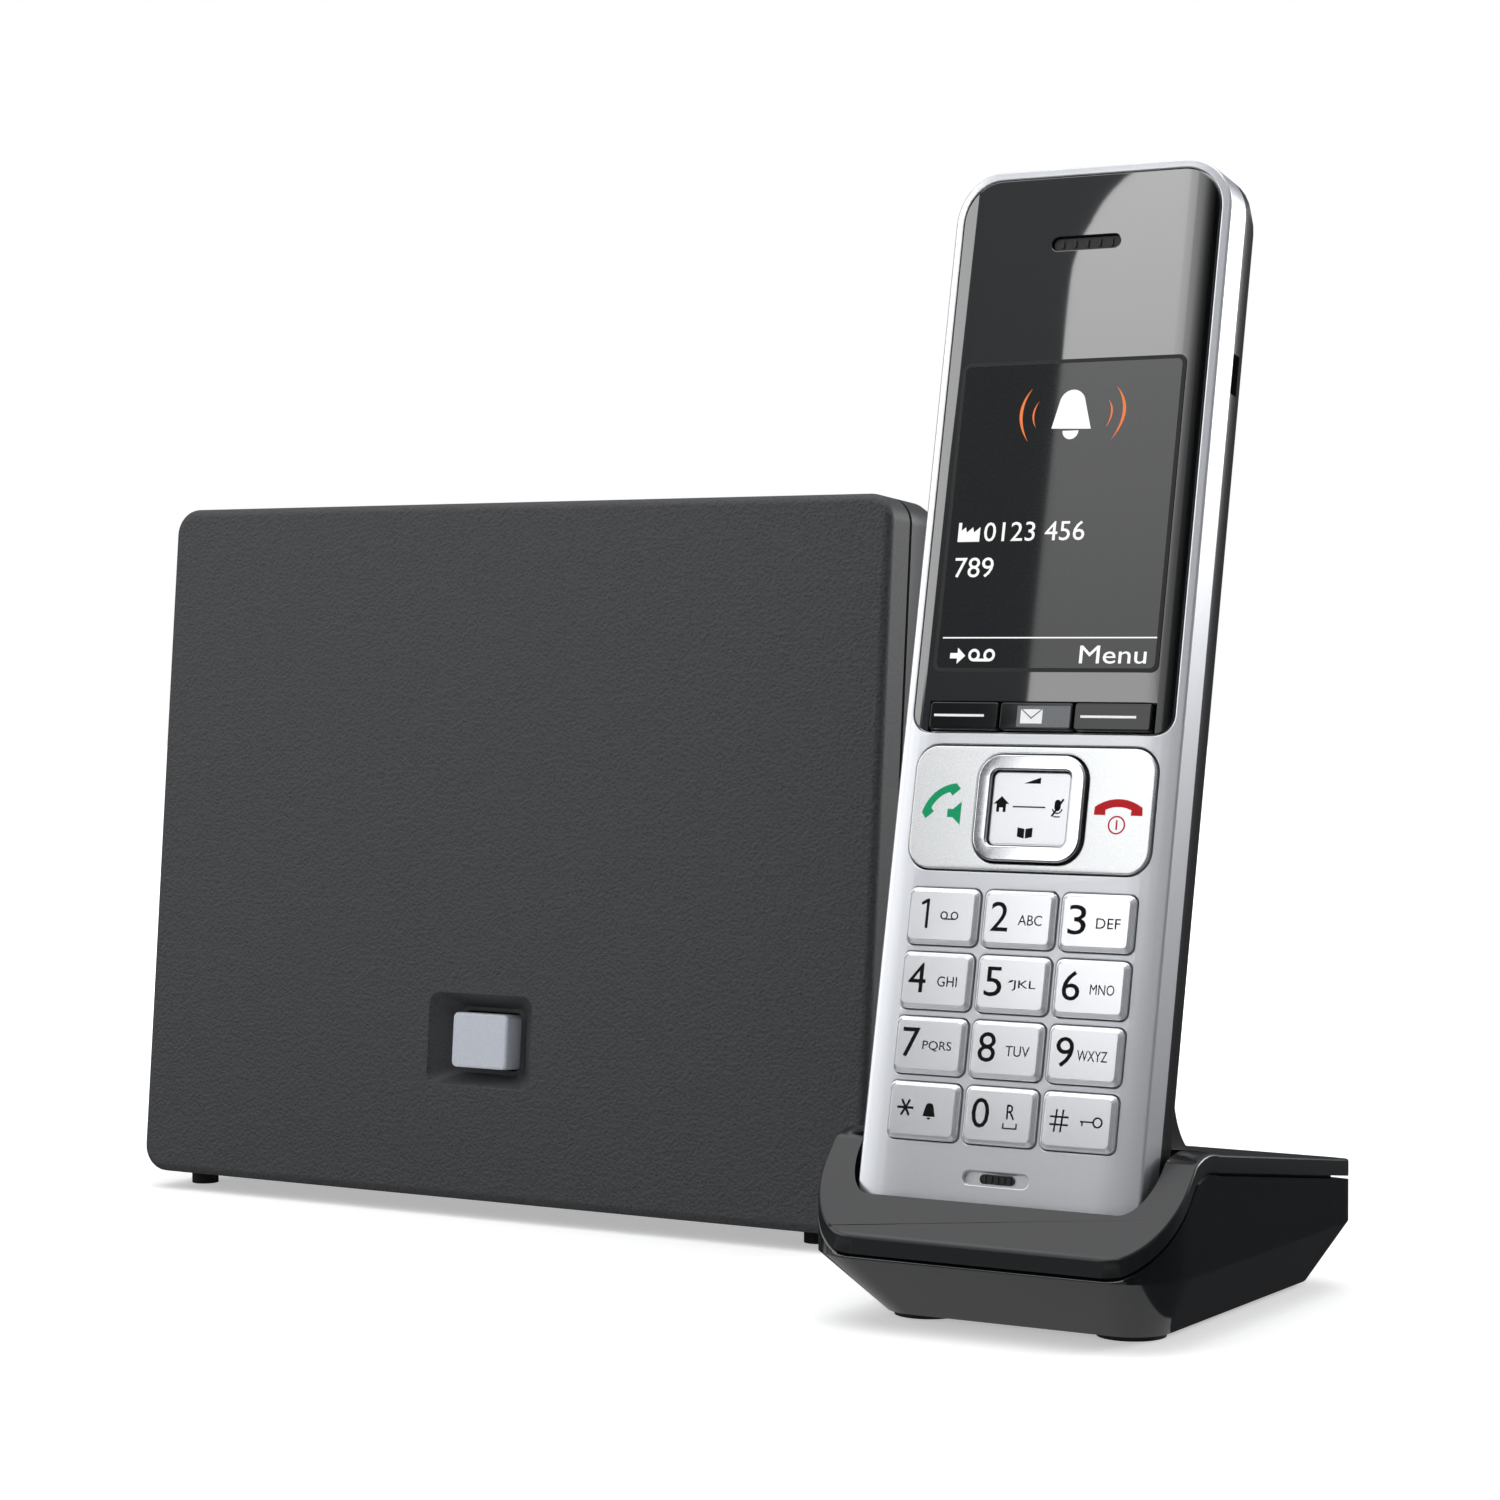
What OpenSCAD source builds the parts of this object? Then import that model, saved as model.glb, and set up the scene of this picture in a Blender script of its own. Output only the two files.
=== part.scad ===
// Cordless phone with its base station and charging cradle, standing together on a table.
// +X is to the viewer's right, the fronts face -Y, +Z is up and the table is z = 0.
// The origin is the middle of the whole set's bounding box, on the table.

/* [Station] */
// Width of the base station
station_w = 149.4; // [140:0.2:170]
// Height of the station's face, along its lean
station_h = 120.2; // [110:0.2:130]
// Depth of the station's housing, square to its face
station_d = 34; // [34:0.5:40]
// Lean of the station from upright, in degrees
station_lean = 5; // [3:0.5:6]
// Corner radius of the station's outline
station_r = 4.6; // [4:0.2:7]
// Depth of the front cover's side band
station_band = 6.4; // [5:0.2:8]
// Width of the pairing button
button_w = 11.4; // [8:0.2:12]
// Height of the pairing button
button_h = 9.4; // [7:0.2:10]
// Width of the scoop around the button, at the face
scoop_w = 21.2; // [18:0.2:24]
// Height of the scoop around the button, at the face
scoop_h = 15.6; // [14:0.2:18]

/* [Cradle] */
// Half of the cradle's width
cradle_half_w = 29; // [28:0.5:32]
// Length of the cradle behind the handset's face
cradle_back = 70; // [66:1:80]
// Height of the deck's front ridge above the table
ridge_z = 27; // [26:0.2:28]
// Height of the deck's rear edge above the table
deck_back_z = 18.9; // [18:0.2:20]
// Half of the width of the charging pocket
pocket_half_w = 24.2; // [23.6:0.1:24.6]
// Height of the backrest's top above the table
backrest_z = 37.5; // [34:0.5:42]

/* [Handset] */
// Width of the handset
handset_w = 45; // [44.6:0.1:46]
// Length of the handset
handset_h = 156; // [150:1:160]
// Thickness of the handset
handset_t = 21; // [20.6:0.2:21.4]
// Lean of the docked handset from upright, in degrees
handset_lean = 12; // [10:0.5:13]
// Depth of the silver side band
band_t = 6; // [5:0.1:6.2]
// Height of the docked handset's front bottom edge above the table
dock_z = 16.6; // [16.2:0.1:17]

/* [Keys] */
// Width of a number key at its base
key_w = 11.5; // [10.5:0.1:11.8]
// Height of a number key at its base
key_h = 8.3; // [7.5:0.1:8.6]
// Distance between neighbouring key columns
key_pitch_x = 12.36; // [12.2:0.02:12.5]
// Distance between neighbouring key rows
key_pitch_z = 9.43; // [9.3:0.01:9.6]
// How far a key goes in
key_travel = 0.8; // [0.5:0.1:0.9]

/* [Hidden] */
$fn = 48;
// Overshoot of every cut, so that no face is left behind
eps = 0.5;

// Layout on the table, before centring: the docked handset's middle is x = 0 and the bottom
// edge of its face is y = 0.
station_mid_x = -123.1;
station_front_y = 48.1;
station_lift = 3.2;
cradle_front = -5.7;
station_taper = 4;
layout_x = (station_mid_x - station_w / 2 + cradle_half_w) / 2;
station_back_y = station_front_y + station_d * cos(station_lean)
    + (station_h - station_taper) * sin(station_lean);
layout_y = (cradle_front + station_back_y) / 2;

// Station
wall = 2;
seam = 0.8;
rear_start = station_band + seam;
board_y = 17;
board_t = 1.6;
button_x = -1.5;
button_z = 27.3;
scoop_depth = 4;
button_travel = 1.5;
station_foot_x = [-68.5, 61];
station_foot_y = [58.6, 77];
station_foot_r = 2.4;
station_screw_x = 60;
station_screw_z = [14, 104];
lan_x = 20;
line_x = -2;
station_power_x = -24;
socket_z = 26;
panel_w = 68;
panel_h = 20;
dc_r = 2.9;
dc_len = 9;

// Cradle
cradle_wall = 1.8;
lid_t = 2.6;
lid_seam = 0.5;
sill_z = 13.4;
waist_z = 10.4;
base_z = 0.8;
base_half_w = 22.4;
base_front = 5.6;
base_back = 66.5;
plan_r = 9.5;
ridge_y = 10;
collar_top_y = 6;
pocket_front = -0.9;
pocket_back = 21.9;
pocket_floor = -0.2;
tub_wall = 1.5;
backrest_half_w = 14;
backrest_arc_y = 43.5;
backrest_arc_z = 33.5;
backrest_arc_r = 12.3;
contact_x = 9;
contact_y = 13;
contact_w = 3;
contact_t = 1.6;
cradle_power_z = 7.6;
cradle_power_y = 68.4;
post_x = 15;
post_y = 42;

// Handset
top_r = 7.5;
bottom_r = 4.5;
face_t = 1.5;
glass_half_w = 21.1;
glass_z0 = 70.3;
glass_z1 = 154.7;
glass_r = 6.2;
glass_t = 1;
soft_z0 = 70.8;
soft_z1 = 74.8;
soft_edges = [-18, -6.5, 5.5, 18];
plate_half_w = 19.4;
plate_z0 = 50;
plate_z1 = 68.4;
plate_r = 3.6;
nav_z = 59.2;
nav_w = 17.2;
nav_h = 15.6;
nav_r = 3.6;
pad_w = 12.6;
pad_h = 10.8;
key_top_z = 47.2;
key_proud = 0.9;
key_stem = 2.2;
fit = 0.15;
mic_z = 5.8;
ear_z = 144.2;
board_face_y = 5.3;
cover_z0 = 46;
cover_z1 = 112;
cover_half_w = 12.5;
cell_r = 5.2;
cell_len = 44;
headset_z = 115;
headset_y = 9;
headset_nose_x = -21.6;
headset_r = 1.75;
clip_z0 = 122;
clip_z1 = 128;
pad_z = 1;

// Frames

module on_table() translate([-layout_x, -layout_y, 0]) children();

// x across the station's face, y into its depth, z up the face
module station_frame()
    on_table() translate([station_mid_x, station_front_y, station_lift]) rotate([-station_lean, 0, 0]) children();

// x across the handset's face, y into its depth, z up the face
module handset_frame() on_table() translate([0, 0, dock_z]) rotate([-handset_lean, 0, 0]) children();

// Shapes

// Rectangle with rounded corners, its middle on x = 0 and its foot on y = 0
module round_rect(w, h, r) {
    translate([-w / 2 + r, 0]) square([w - 2 * r, h]);
    translate([-w / 2, r]) square([w, h - 2 * r]);
    for (x = [-w / 2 + r, w / 2 - r], y = [r, h - r]) translate([x, y]) circle(r);
}

// Rounded rectangle with its middle on the origin
module centred_rect(w, h, r) translate([0, -h / 2]) round_rect(w, h, r);

// Stands an outline up as a slab from depth y0 to depth y1
module slab(y0, y1) translate([0, y1, 0]) rotate([90, 0, 0]) linear_extrude(y1 - y0) children();

// Extrudes a side view, drawn as y and z, from x0 to x1
module side_prism(x0, x1) translate([x0, 0, 0]) rotate([90, 0, 90]) linear_extrude(x1 - x0) children();

module box(x0, x1, y0, y1, z0, z1) translate([x0, y0, z0]) cube([x1 - x0, y1 - y0, z1 - z0]);

// Cylinder that runs along y from y0 to y1
module rod_y(x, z, r, y0, y1) translate([x, y0, z]) rotate([-90, 0, 0]) cylinder(r = r, h = y1 - y0);

// Station

module station_outline(inset = 0)
    translate([0, inset]) round_rect(station_w - 2 * inset, station_h - 2 * inset, max(station_r - inset, 1));

module at_station_screws() for (x = [-1, 1], z = station_screw_z) translate([x * station_screw_x, 0, z]) children();

module station_front_cover() color("#3d3e40") station_frame() difference() {
    union() {
        hull() {
            slab(0, 0.2) station_outline(1.4);
            slab(1.4, wall) station_outline();
        }
        difference() {
            slab(wall - 0.2, station_band) station_outline();
            slab(wall - eps, station_band + eps) station_outline(wall);
        }
        slab(wall - 0.2, scoop_depth + 1.6) translate([button_x, button_z]) centred_rect(scoop_w + 3, scoop_h + 3, 2.5);
        at_station_screws() rod_y(0, 0, 3.5, wall - 0.2, 14);
    }
    translate([button_x, 0, button_z]) {
        hull() {
            slab(-eps, 0.01) centred_rect(scoop_w, scoop_h, 2);
            slab(scoop_depth - 0.01, scoop_depth) centred_rect(button_w + 2, button_h + 2, 1.2);
        }
        slab(0, 8) centred_rect(button_w + 0.6, button_h + 0.6, 1.2);
    }
    at_station_screws() rod_y(0, 0, 1.2, 5, 14 + eps);
}

module station_rear_body() hull() {
    slab(rear_start, 14) station_outline();
    slab(station_d - 0.2, station_d) station_outline(station_taper);
}

module station_rear_cover() color("#37383a") station_frame() difference() {
    station_rear_body();
    hull() {
        slab(rear_start - eps, 14) station_outline(wall);
        slab(station_d - wall - 0.2, station_d - wall) station_outline(station_taper + wall);
    }
    for (x = [-1, 1]) translate([x * 40, 0, 86]) {
        rod_y(0, 0, 4, station_d - wall - eps, station_d + eps);
        box(-2.2, 2.2, station_d - wall - eps, station_d + eps, 0, 10);
    }
    slab(station_d - wall - eps, station_d + eps) translate([0, socket_z]) centred_rect(panel_w, panel_h, 1.5);
    at_station_screws() rod_y(0, 0, 2.6, 20, station_d + eps);
    for (i = [0:10]) box(-30, 30, station_d - 0.8, station_d + eps, 48 + i * 3, 49.4 + i * 3);
}

// Insert in the rear cover that frames the three sockets
module station_socket_panel() color("#2e2f31") station_frame() difference() {
    slab(station_d - wall, station_d) translate([0, socket_z]) centred_rect(panel_w - 0.2, panel_h - 0.2, 1.4);
    box(lan_x - 8, lan_x + 8, station_d - wall - eps, station_d + eps, socket_z - 7, socket_z + 7);
    box(line_x - 6.5, line_x + 6.5, station_d - wall - eps, station_d + eps, socket_z - 6, socket_z + 6);
    rod_y(station_power_x, socket_z, 4.6, station_d - wall - eps, station_d + eps);
}

// Hollow cap, held by two skirts that run in the cover's guide
module station_button() color("#b9bdc6") station_frame() translate([button_x, 0, button_z]) difference() {
    union() {
        slab(0, 8) centred_rect(button_w, button_h, 1);
        slab(6.6, 8) centred_rect(button_w + 2.4, button_h + 2.4, 1);
    }
    slab(1.4, 8 + eps) centred_rect(button_w - 2.4, button_h - 2.4, 0.6);
}

module station_switch() color("#2b2b2d") station_frame() translate([button_x, 0, button_z]) {
    box(-3, 3, board_y - 4, board_y, -3, 3);
    rod_y(0, 0, 1.6, 3.2, board_y - 3.9);
}

module station_board() color("#1f5a36") station_frame() difference() {
    box(-56, 56, board_y, board_y + board_t, 12, 112);
    at_station_screws() rod_y(0, 0, 3.8, board_y - eps, board_y + board_t + eps);
}

module station_shield_can() color("#c9ccd0") station_frame() {
    box(-18, 18, board_y - 3.2, board_y, 62, 94);
    box(24, 46, board_y - 2.4, board_y, 66, 88);
}

// Two bent strip antennas on the board's upper corners
module station_antennas() color("#b08d3c") station_frame() for (s = [-1, 1]) {
    box(s * 42 - 10, s * 42 + 10, board_y - 7, board_y - 6.6, 98, 110);
    box(s * 42 - 10, s * 42 + 10, board_y - 7, board_y, 97.6, 98);
}

// Modular socket with its mouth at the rear wall
module modular_socket(x, half_w, half_h, depth) difference() {
    box(x - half_w - 1.8, x + half_w + 1.8, station_d - wall - depth, station_d - wall - 0.1,
        socket_z - half_h - 1.8, socket_z + half_h + 1.8);
    box(x - half_w, x + half_w, station_d - wall - depth + 1.6, station_d, socket_z - half_h, socket_z + half_h);
}

module station_lan_socket() color("#c5c8cc") station_frame() modular_socket(lan_x, 5.9, 4.2, 13);

module station_line_socket() color("#1d1d1f") station_frame() modular_socket(line_x, 4.9, 3.4, 13);

// Barrel socket: a block with a round nose that shows in the wall's hole
module barrel_socket(y_mouth, block_y0) difference() {
    union() {
        box(-4.2, 4.2, block_y0, y_mouth - 2.2, -4.2, 4.2);
        rod_y(0, 0, 3.8, block_y0 + 1, y_mouth);
    }
    rod_y(0, 0, dc_r, y_mouth - dc_len, y_mouth + eps);
}

module station_power_socket() color("#1d1d1f") station_frame() translate([station_power_x, 0, socket_z])
    barrel_socket(station_d - 0.3, board_y + board_t);

// Rubber feet, cut off where they meet the rear cover
module station_feet() color("#17171a") difference() {
    on_table() for (x = station_foot_x, y = station_foot_y) translate([station_mid_x + x, y, 0])
        cylinder(r = station_foot_r, h = 6);
    station_frame() station_rear_body();
}

module station_screws() color("#8d9095") station_frame() at_station_screws() {
    rod_y(0, 0, 1, 8, 20);
    rod_y(0, 0, 2.3, 20, 21.6);
}

// Cradle

// The deck's height at a distance y behind the handset's face
function deck_z(y) = ridge_z + (deck_back_z - ridge_z) * (y - ridge_y) / (cradle_back - ridge_y);

// The cradle's upper line in side view, front to back: sill, sloping collar, rounded ridge, deck
function upper_line(drop) = concat(
    [[cradle_front - 1, sill_z - drop - 0.4], [cradle_front + 0.6, sill_z - drop + 0.6]],
    [for (i = [0:6]) let (t = i / 6) [
        collar_top_y + (ridge_y + 4 - collar_top_y) * t,
        (1 - t) * (1 - t) * (collar_z(collar_top_y) - drop) + 2 * t * (1 - t) * (ridge_z + 0.6 - drop)
            + t * t * (deck_z(ridge_y + 4) - drop)
    ]],
    [[cradle_back + 1, deck_z(cradle_back + 1) - drop]]
);

// The collar slopes up at a little over 45 degrees from the sill to the ridge
function collar_z(y) = sill_z + 0.6 + (ridge_z - 1.2 - sill_z - 0.6) * (y - cradle_front - 0.6) / (collar_top_y - cradle_front - 0.6);

module cradle_plan(inset = 0) translate([0, cradle_front + inset])
    round_rect(2 * (cradle_half_w - inset), cradle_back - cradle_front - 2 * inset, plan_r - inset);

// The pocket's outline around the handset's foot, drawn in the handset's frame
module pocket(z0, z1, grow = 0) translate([0, pocket_front - grow, z0])
    linear_extrude(z1 - z0)
        round_rect(2 * (pocket_half_w + grow), pocket_back - pocket_front + 2 * grow, 4.5 + grow);

module at_cradle_posts() for (x = [-1, 1]) translate([x * post_x, post_y, 0]) children();

module docked() translate([0, 0, dock_z]) rotate([-handset_lean, 0, 0]) children();

module backrest() difference() {
    intersection() {
        side_prism(-backrest_half_w, backrest_half_w)
            polygon([[20, 12], [20, backrest_z + 2], [52, backrest_z + 2], [52, deck_z(52) - 1], [33, 12]]);
        slab(10, 60) round_rect(2 * backrest_half_w, backrest_z, 5);
    }
    translate([0, backrest_arc_y, backrest_arc_z]) rotate([0, 90, 0])
        cylinder(r = backrest_arc_r, h = 2 * backrest_half_w + 2, center = true);
    side_prism(-20, 20) polygon([[backrest_arc_y, deck_z(backrest_arc_y) - 0.6], [60, deck_z(60) - 0.6], [60, 60],
        [backrest_arc_y, 60]]);
}

module cradle_top_shell() color("#303438") on_table() difference() {
    union() {
        intersection() {
            linear_extrude(60) cradle_plan();
            side_prism(-40, 40) polygon(concat(upper_line(0), [for (i = [9:-1:0]) upper_line(lid_t)[i]]));
        }
        intersection() {
            docked() pocket(-2, 24, tub_wall);
            linear_extrude(60) cradle_plan(1);
            side_prism(-40, 40) polygon(concat(upper_line(0.6), [[cradle_back + 1, 2], [cradle_front - 1, 2]]));
        }
        backrest();
        at_cradle_posts() translate([0, 0, 4]) cylinder(r = 2.6, h = deck_z(post_y) - 5);
    }
    docked() pocket(pocket_floor, 60);
    docked() for (s = [-1, 1])
        box(s * contact_x - contact_w / 2 - 0.2, s * contact_x + contact_w / 2 + 0.2,
            contact_y - contact_t / 2 - 0.2, contact_y + contact_t / 2 + 0.2, -3, 1);
    at_cradle_posts() translate([0, 0, 3]) cylinder(r = 1, h = 9);
}

module cradle_lower_hull(inset) hull() {
    translate([0, 0, base_z + inset]) linear_extrude(0.1) translate([0, base_front + inset])
        round_rect(2 * (base_half_w - inset), base_back - base_front - 2 * inset, 6 - inset, $fn = 32);
    translate([0, 0, waist_z - 0.1]) linear_extrude(0.1) cradle_plan(inset, $fn = 32);
}

module cradle_lower_shell() color("#24272a") on_table() difference() {
    union() {
        cradle_lower_hull(0);
        intersection() {
            translate([0, 0, waist_z - 0.1]) linear_extrude(40) cradle_plan();
            side_prism(-40, 40)
                polygon(concat(upper_line(lid_t + lid_seam), [[cradle_back + 1, 2], [cradle_front - 1, 2]]));
        }
    }
    cradle_lower_hull(cradle_wall);
    translate([0, 0, waist_z - 0.2]) linear_extrude(40) cradle_plan(cradle_wall);
    translate([0, 0, cradle_power_z]) rod_y(0, 0, 4.6, cradle_power_y - 3.4, cradle_back + 2);
    at_cradle_posts() translate([0, 0, -1]) cylinder(r = 2.3, h = 3);
    at_cradle_posts() translate([0, 0, -1]) cylinder(r = 1.2, h = 6);
}

// Spring blade's nose, a rounded tab that rises through the pocket's floor
module contact(s) color("#c9a94f") handset_frame() translate([s * contact_x, contact_y, 0]) union() {
    box(-contact_w / 2, contact_w / 2, -contact_t / 2, contact_t / 2, -5, 0);
    translate([-contact_w / 2, 0, 0]) rotate([0, 90, 0]) cylinder(r = contact_t / 2, h = contact_w);
}

module cradle_contact_left() contact(-1);

module cradle_contact_right() contact(1);

module cradle_contact_holder() color("#1b1c1e") handset_frame() difference() {
    box(-14, 14, contact_y - 3, contact_y + 3, -7, -2.1);
    for (s = [-1, 1])
        box(s * contact_x - contact_w / 2 - 0.2, s * contact_x + contact_w / 2 + 0.2,
            contact_y - contact_t / 2 - 0.2, contact_y + contact_t / 2 + 0.2, -6, 0);
}

module cradle_board() color("#1f5a36") on_table() box(-11, 11, 42, 60, 12.6, 14);

module cradle_power_socket() color("#111214") on_table() translate([0, 0, cradle_power_z]) difference() {
    union() {
        box(-4.2, 4.2, 56, cradle_power_y - 3.8, -4.2, 4.2);
        rod_y(0, 0, 3.8, 57, cradle_power_y);
    }
    rod_y(0, 0, dc_r, cradle_power_y - dc_len, cradle_back + 1);
}

module cradle_ballast() color("#7c8085") on_table() box(-11.5, 11.5, 24, 52, base_z + cradle_wall, base_z + cradle_wall + 3.2);

// Broad pads at the front, small ones at the back
module cradle_feet() color("#141517") on_table() for (s = [-1, 1]) {
    translate([s * 16.4, 11.8, 0]) cylinder(r = 5, h = base_z);
    translate([s * 17, 61, 0]) cylinder(r = 3, h = base_z);
}

module cradle_screws() color("#8d9095") on_table() at_cradle_posts() translate([0, 0, 1.1]) {
    cylinder(r = 2, h = 0.9);
    cylinder(r = 0.9, h = 9);
}

// Handset

module handset_outline(inset = 0) translate([0, inset]) {
    round_rect(handset_w - 2 * inset, handset_h - 2 * inset, top_r - inset);
    round_rect(handset_w - 2 * inset, handset_h / 2, bottom_r - inset / 2);
}

module glass_outline(inset = 0) translate([0, glass_z0 + inset]) {
    round_rect(2 * (glass_half_w - inset), glass_z1 - glass_z0 - 2 * inset, glass_r);
    round_rect(2 * (glass_half_w - inset), 40, 3);
}

module plate_outline(grow = 0) translate([0, plate_z0 - grow])
    round_rect(2 * (plate_half_w + grow), plate_z1 - plate_z0 + 2 * grow, plate_r + grow);

module key_at(column, row)
    translate([(column - 1) * key_pitch_x, 0, key_top_z - key_h / 2 - row * key_pitch_z]) children();

module handset_front_shell() color("#c9ccd2") handset_frame() difference() {
    slab(0, band_t) handset_outline();
    slab(face_t, band_t + eps) handset_outline(1.5);
    slab(-eps, glass_t + 0.1) glass_outline();
    slab(0, face_t + eps) glass_outline(1.8);
    box(soft_edges[0] - fit, soft_edges[3] + fit, -eps, face_t + eps, soft_z0 - fit, soft_z1 + fit);
    slab(-eps, face_t + eps) plate_outline(fit);
    for (row = [0:3], column = [0:2]) key_at(column, row)
        slab(-eps, face_t + eps) centred_rect(key_w + 2 * fit, key_h + 2 * fit, 1.2);
    slab(-eps, 0.7) translate([0, mic_z]) centred_rect(10.4, 2, 0.99);
    slab(0, face_t + eps) translate([0, mic_z]) centred_rect(5.6, 1.4, 0.69);
}

// Outline drawn in by side on both sides, by foot at the bottom and by head at the top
module rear_section(side, foot, head) translate([0, foot]) {
    round_rect(handset_w - 2 * side, handset_h - foot - head, top_r, $fn = 32);
    round_rect(handset_w - 2 * side, handset_h / 2, bottom_r, $fn = 32);
}

// The back curves in from the side band, most of all near its middle
module rear_hull(inset) hull() {
    slab(band_t - inset, band_t + 2) rear_section(inset, inset, inset);
    slab(11.4 - inset / 2, 11.5 - inset / 2) rear_section(inset + 1, inset, inset + 0.9);
    slab(16.4 - inset, 16.5 - inset) rear_section(inset + 3.6, inset, inset + 2.8);
    slab(handset_t - 0.2 - inset, handset_t - inset) rear_section(inset + 8, inset + 2, inset + 7);
}

module handset_rear_shell() color("#17181a") handset_frame() difference() {
    intersection() {
        rear_hull(0);
        box(-30, 30, band_t, 30, -1, 160);
    }
    intersection() {
        rear_hull(1.5);
        box(-30, 30, band_t - eps, 30, -1, 160);
    }
    // Battery compartment's mouth, with the cover's recess around it
    box(-cover_half_w + 1.6, cover_half_w - 1.6, 17, 30, cover_z0 + 1.6, cover_z1 - 1.6);
    box(-cover_half_w - 0.2, cover_half_w + 0.2, handset_t - 0.9, 30, cover_z0 - 0.2, cover_z1 + 0.2);
    // Belt clip notches
    for (s = [-1, 1]) box(s * 23 - 1.6, s * 23 + 1.6, band_t + 0.2, band_t + 2.6, clip_z0, clip_z1);
    // Ringer grille
    for (i = [-3:3]) box(-7 + abs(i), 7 - abs(i), handset_t - 2.5, 30, 134 + i * 2, 134.9 + i * 2);
    // Headset socket's hole
    translate([-30, headset_y, headset_z]) rotate([0, 90, 0]) cylinder(r = 2.7, h = 20);
    // Seats of the charging pads
    for (s = [-1, 1]) {
        box(s * contact_x - 2.6, s * contact_x + 2.6, contact_y - 1.8, contact_y + 1.8, -1, 3);
        box(s * contact_x - 3.3, s * contact_x + 3.3, contact_y - 2.5, contact_y + 2.5, pad_z, 3);
    }
}

module battery_cover() color("#17181a") handset_frame() {
    slab(handset_t - 0.8, handset_t) translate([0, cover_z0])
        round_rect(2 * cover_half_w, cover_z1 - cover_z0, 0.9);
    slab(handset_t - 1.8, handset_t - 0.7) translate([0, cover_z0 + 1.9])
        round_rect(2 * cover_half_w - 3.8, cover_z1 - cover_z0 - 3.8, 0.9);
}

module display_lens() color("#0c0d0f") handset_frame() difference() {
    slab(0, glass_t) glass_outline(fit);
    box(soft_edges[0] - 0.2, soft_edges[3] + 0.2, -eps, glass_t + eps, glass_z0 - 1, soft_z1 + 0.15);
    slab(-eps, glass_t + eps) translate([0, ear_z]) centred_rect(11.2, 2.1, 1.04);
}

module display_module() color("#26282b") handset_frame() box(-19, 19, glass_t + 0.2, band_t - 1, 78, 128);

module earpiece() color("#111214") handset_frame() slab(glass_t + 0.2, band_t - 0.8)
    translate([0, ear_z]) centred_rect(14, 7, 3.4);

// A soft key between two of the row's edges
module soft_key(i) color("#141517") handset_frame() {
    mid = (soft_edges[i] + soft_edges[i + 1]) / 2;
    width = soft_edges[i + 1] - soft_edges[i] - 0.3;
    slab(-0.5, key_stem) translate([mid, (soft_z0 + soft_z1) / 2]) centred_rect(width, soft_z1 - soft_z0, 0.5);
}

module soft_key_left() soft_key(0);

module message_key() soft_key(1);

module soft_key_right() soft_key(2);

// One plate around the navigation key, with the talk end on the left and the hang-up end on the right
module talk_end_rocker() color("#c6c9cf") handset_frame() difference() {
    slab(-0.3, 1.9) plate_outline(-0.1);
    slab(-1, 3) translate([0, nav_z]) centred_rect(nav_w + 0.8, nav_h + 0.6, nav_r + 0.3);
}

// Inner gimbal ring of the navigation key
module nav_carrier() color("#5d6166") handset_frame() difference() {
    slab(2.5, 3.6) translate([0, nav_z]) centred_rect(nav_w - 1, nav_h - 1, 3);
    slab(2, 4) translate([0, nav_z]) centred_rect(nav_w - 7, nav_h - 7, 2);
}

module nav_frame() color("#d5d8dd") handset_frame() difference() {
    slab(-1, 1.9) translate([0, nav_z]) centred_rect(nav_w, nav_h, nav_r);
    slab(-2, 2.5) translate([0, nav_z]) centred_rect(pad_w + 2 * fit, pad_h + 2 * fit, 1.1);
}

module nav_centre() color("#e8e9ec") handset_frame() slab(-0.4, 1.3) translate([0, nav_z])
    centred_rect(pad_w, pad_h, 1);

// A number key: a base that fills its hole and a smaller raised face
module number_key(column, row) color("#ced1d6") handset_frame() key_at(column, row) {
    slab(-key_proud + 0.45, key_stem) centred_rect(key_w, key_h, 1.1);
    slab(-key_proud, 1) centred_rect(key_w - 0.9, key_h - 0.9, 0.8);
}

module key_1() number_key(0, 0);
module key_2() number_key(1, 0);
module key_3() number_key(2, 0);
module key_4() number_key(0, 1);
module key_5() number_key(1, 1);
module key_6() number_key(2, 1);
module key_7() number_key(0, 2);
module key_8() number_key(1, 2);
module key_9() number_key(2, 2);
module key_star() number_key(0, 3);
module key_0() number_key(1, 3);
module key_hash() number_key(2, 3);

// Silicone sheet with a dome behind each number key
module keypad_mat() color("#9da2a8") handset_frame() {
    box(-19, 19, 3.9, 4.6, 9, 48);
    for (row = [0:3], column = [0:2]) key_at(column, row) rod_y(0, 0, 2.6, 3.2, 4);
}

module handset_board() color("#1f5a36") handset_frame() box(-19.5, 19.5, board_face_y, board_face_y + 1, 8, 148);

module battery_cells() color("#3a7d5c") handset_frame() for (s = [-1, 1])
    translate([s * (cell_r + 0.3), 12.8, 57]) cylinder(r = cell_r, h = cell_len);

module battery_contacts() color("#c8cbd0") handset_frame() for (s = [-1, 1]) {
    box(s * (cell_r + 0.3) - 4, s * (cell_r + 0.3) + 4, 9, 16, 56, 56.6);
    box(s * (cell_r + 0.3) - 4, s * (cell_r + 0.3) + 4, 9, 16, 101.4, 102);
}

module loudspeaker() color("#1c1d1f") handset_frame() rod_y(0, 134, 8, 13, 17.6);

module microphone() color("#b9bcc1") handset_frame() rod_y(0, mic_z + 0.4, 2, face_t + 0.2, 3.6);

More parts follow.
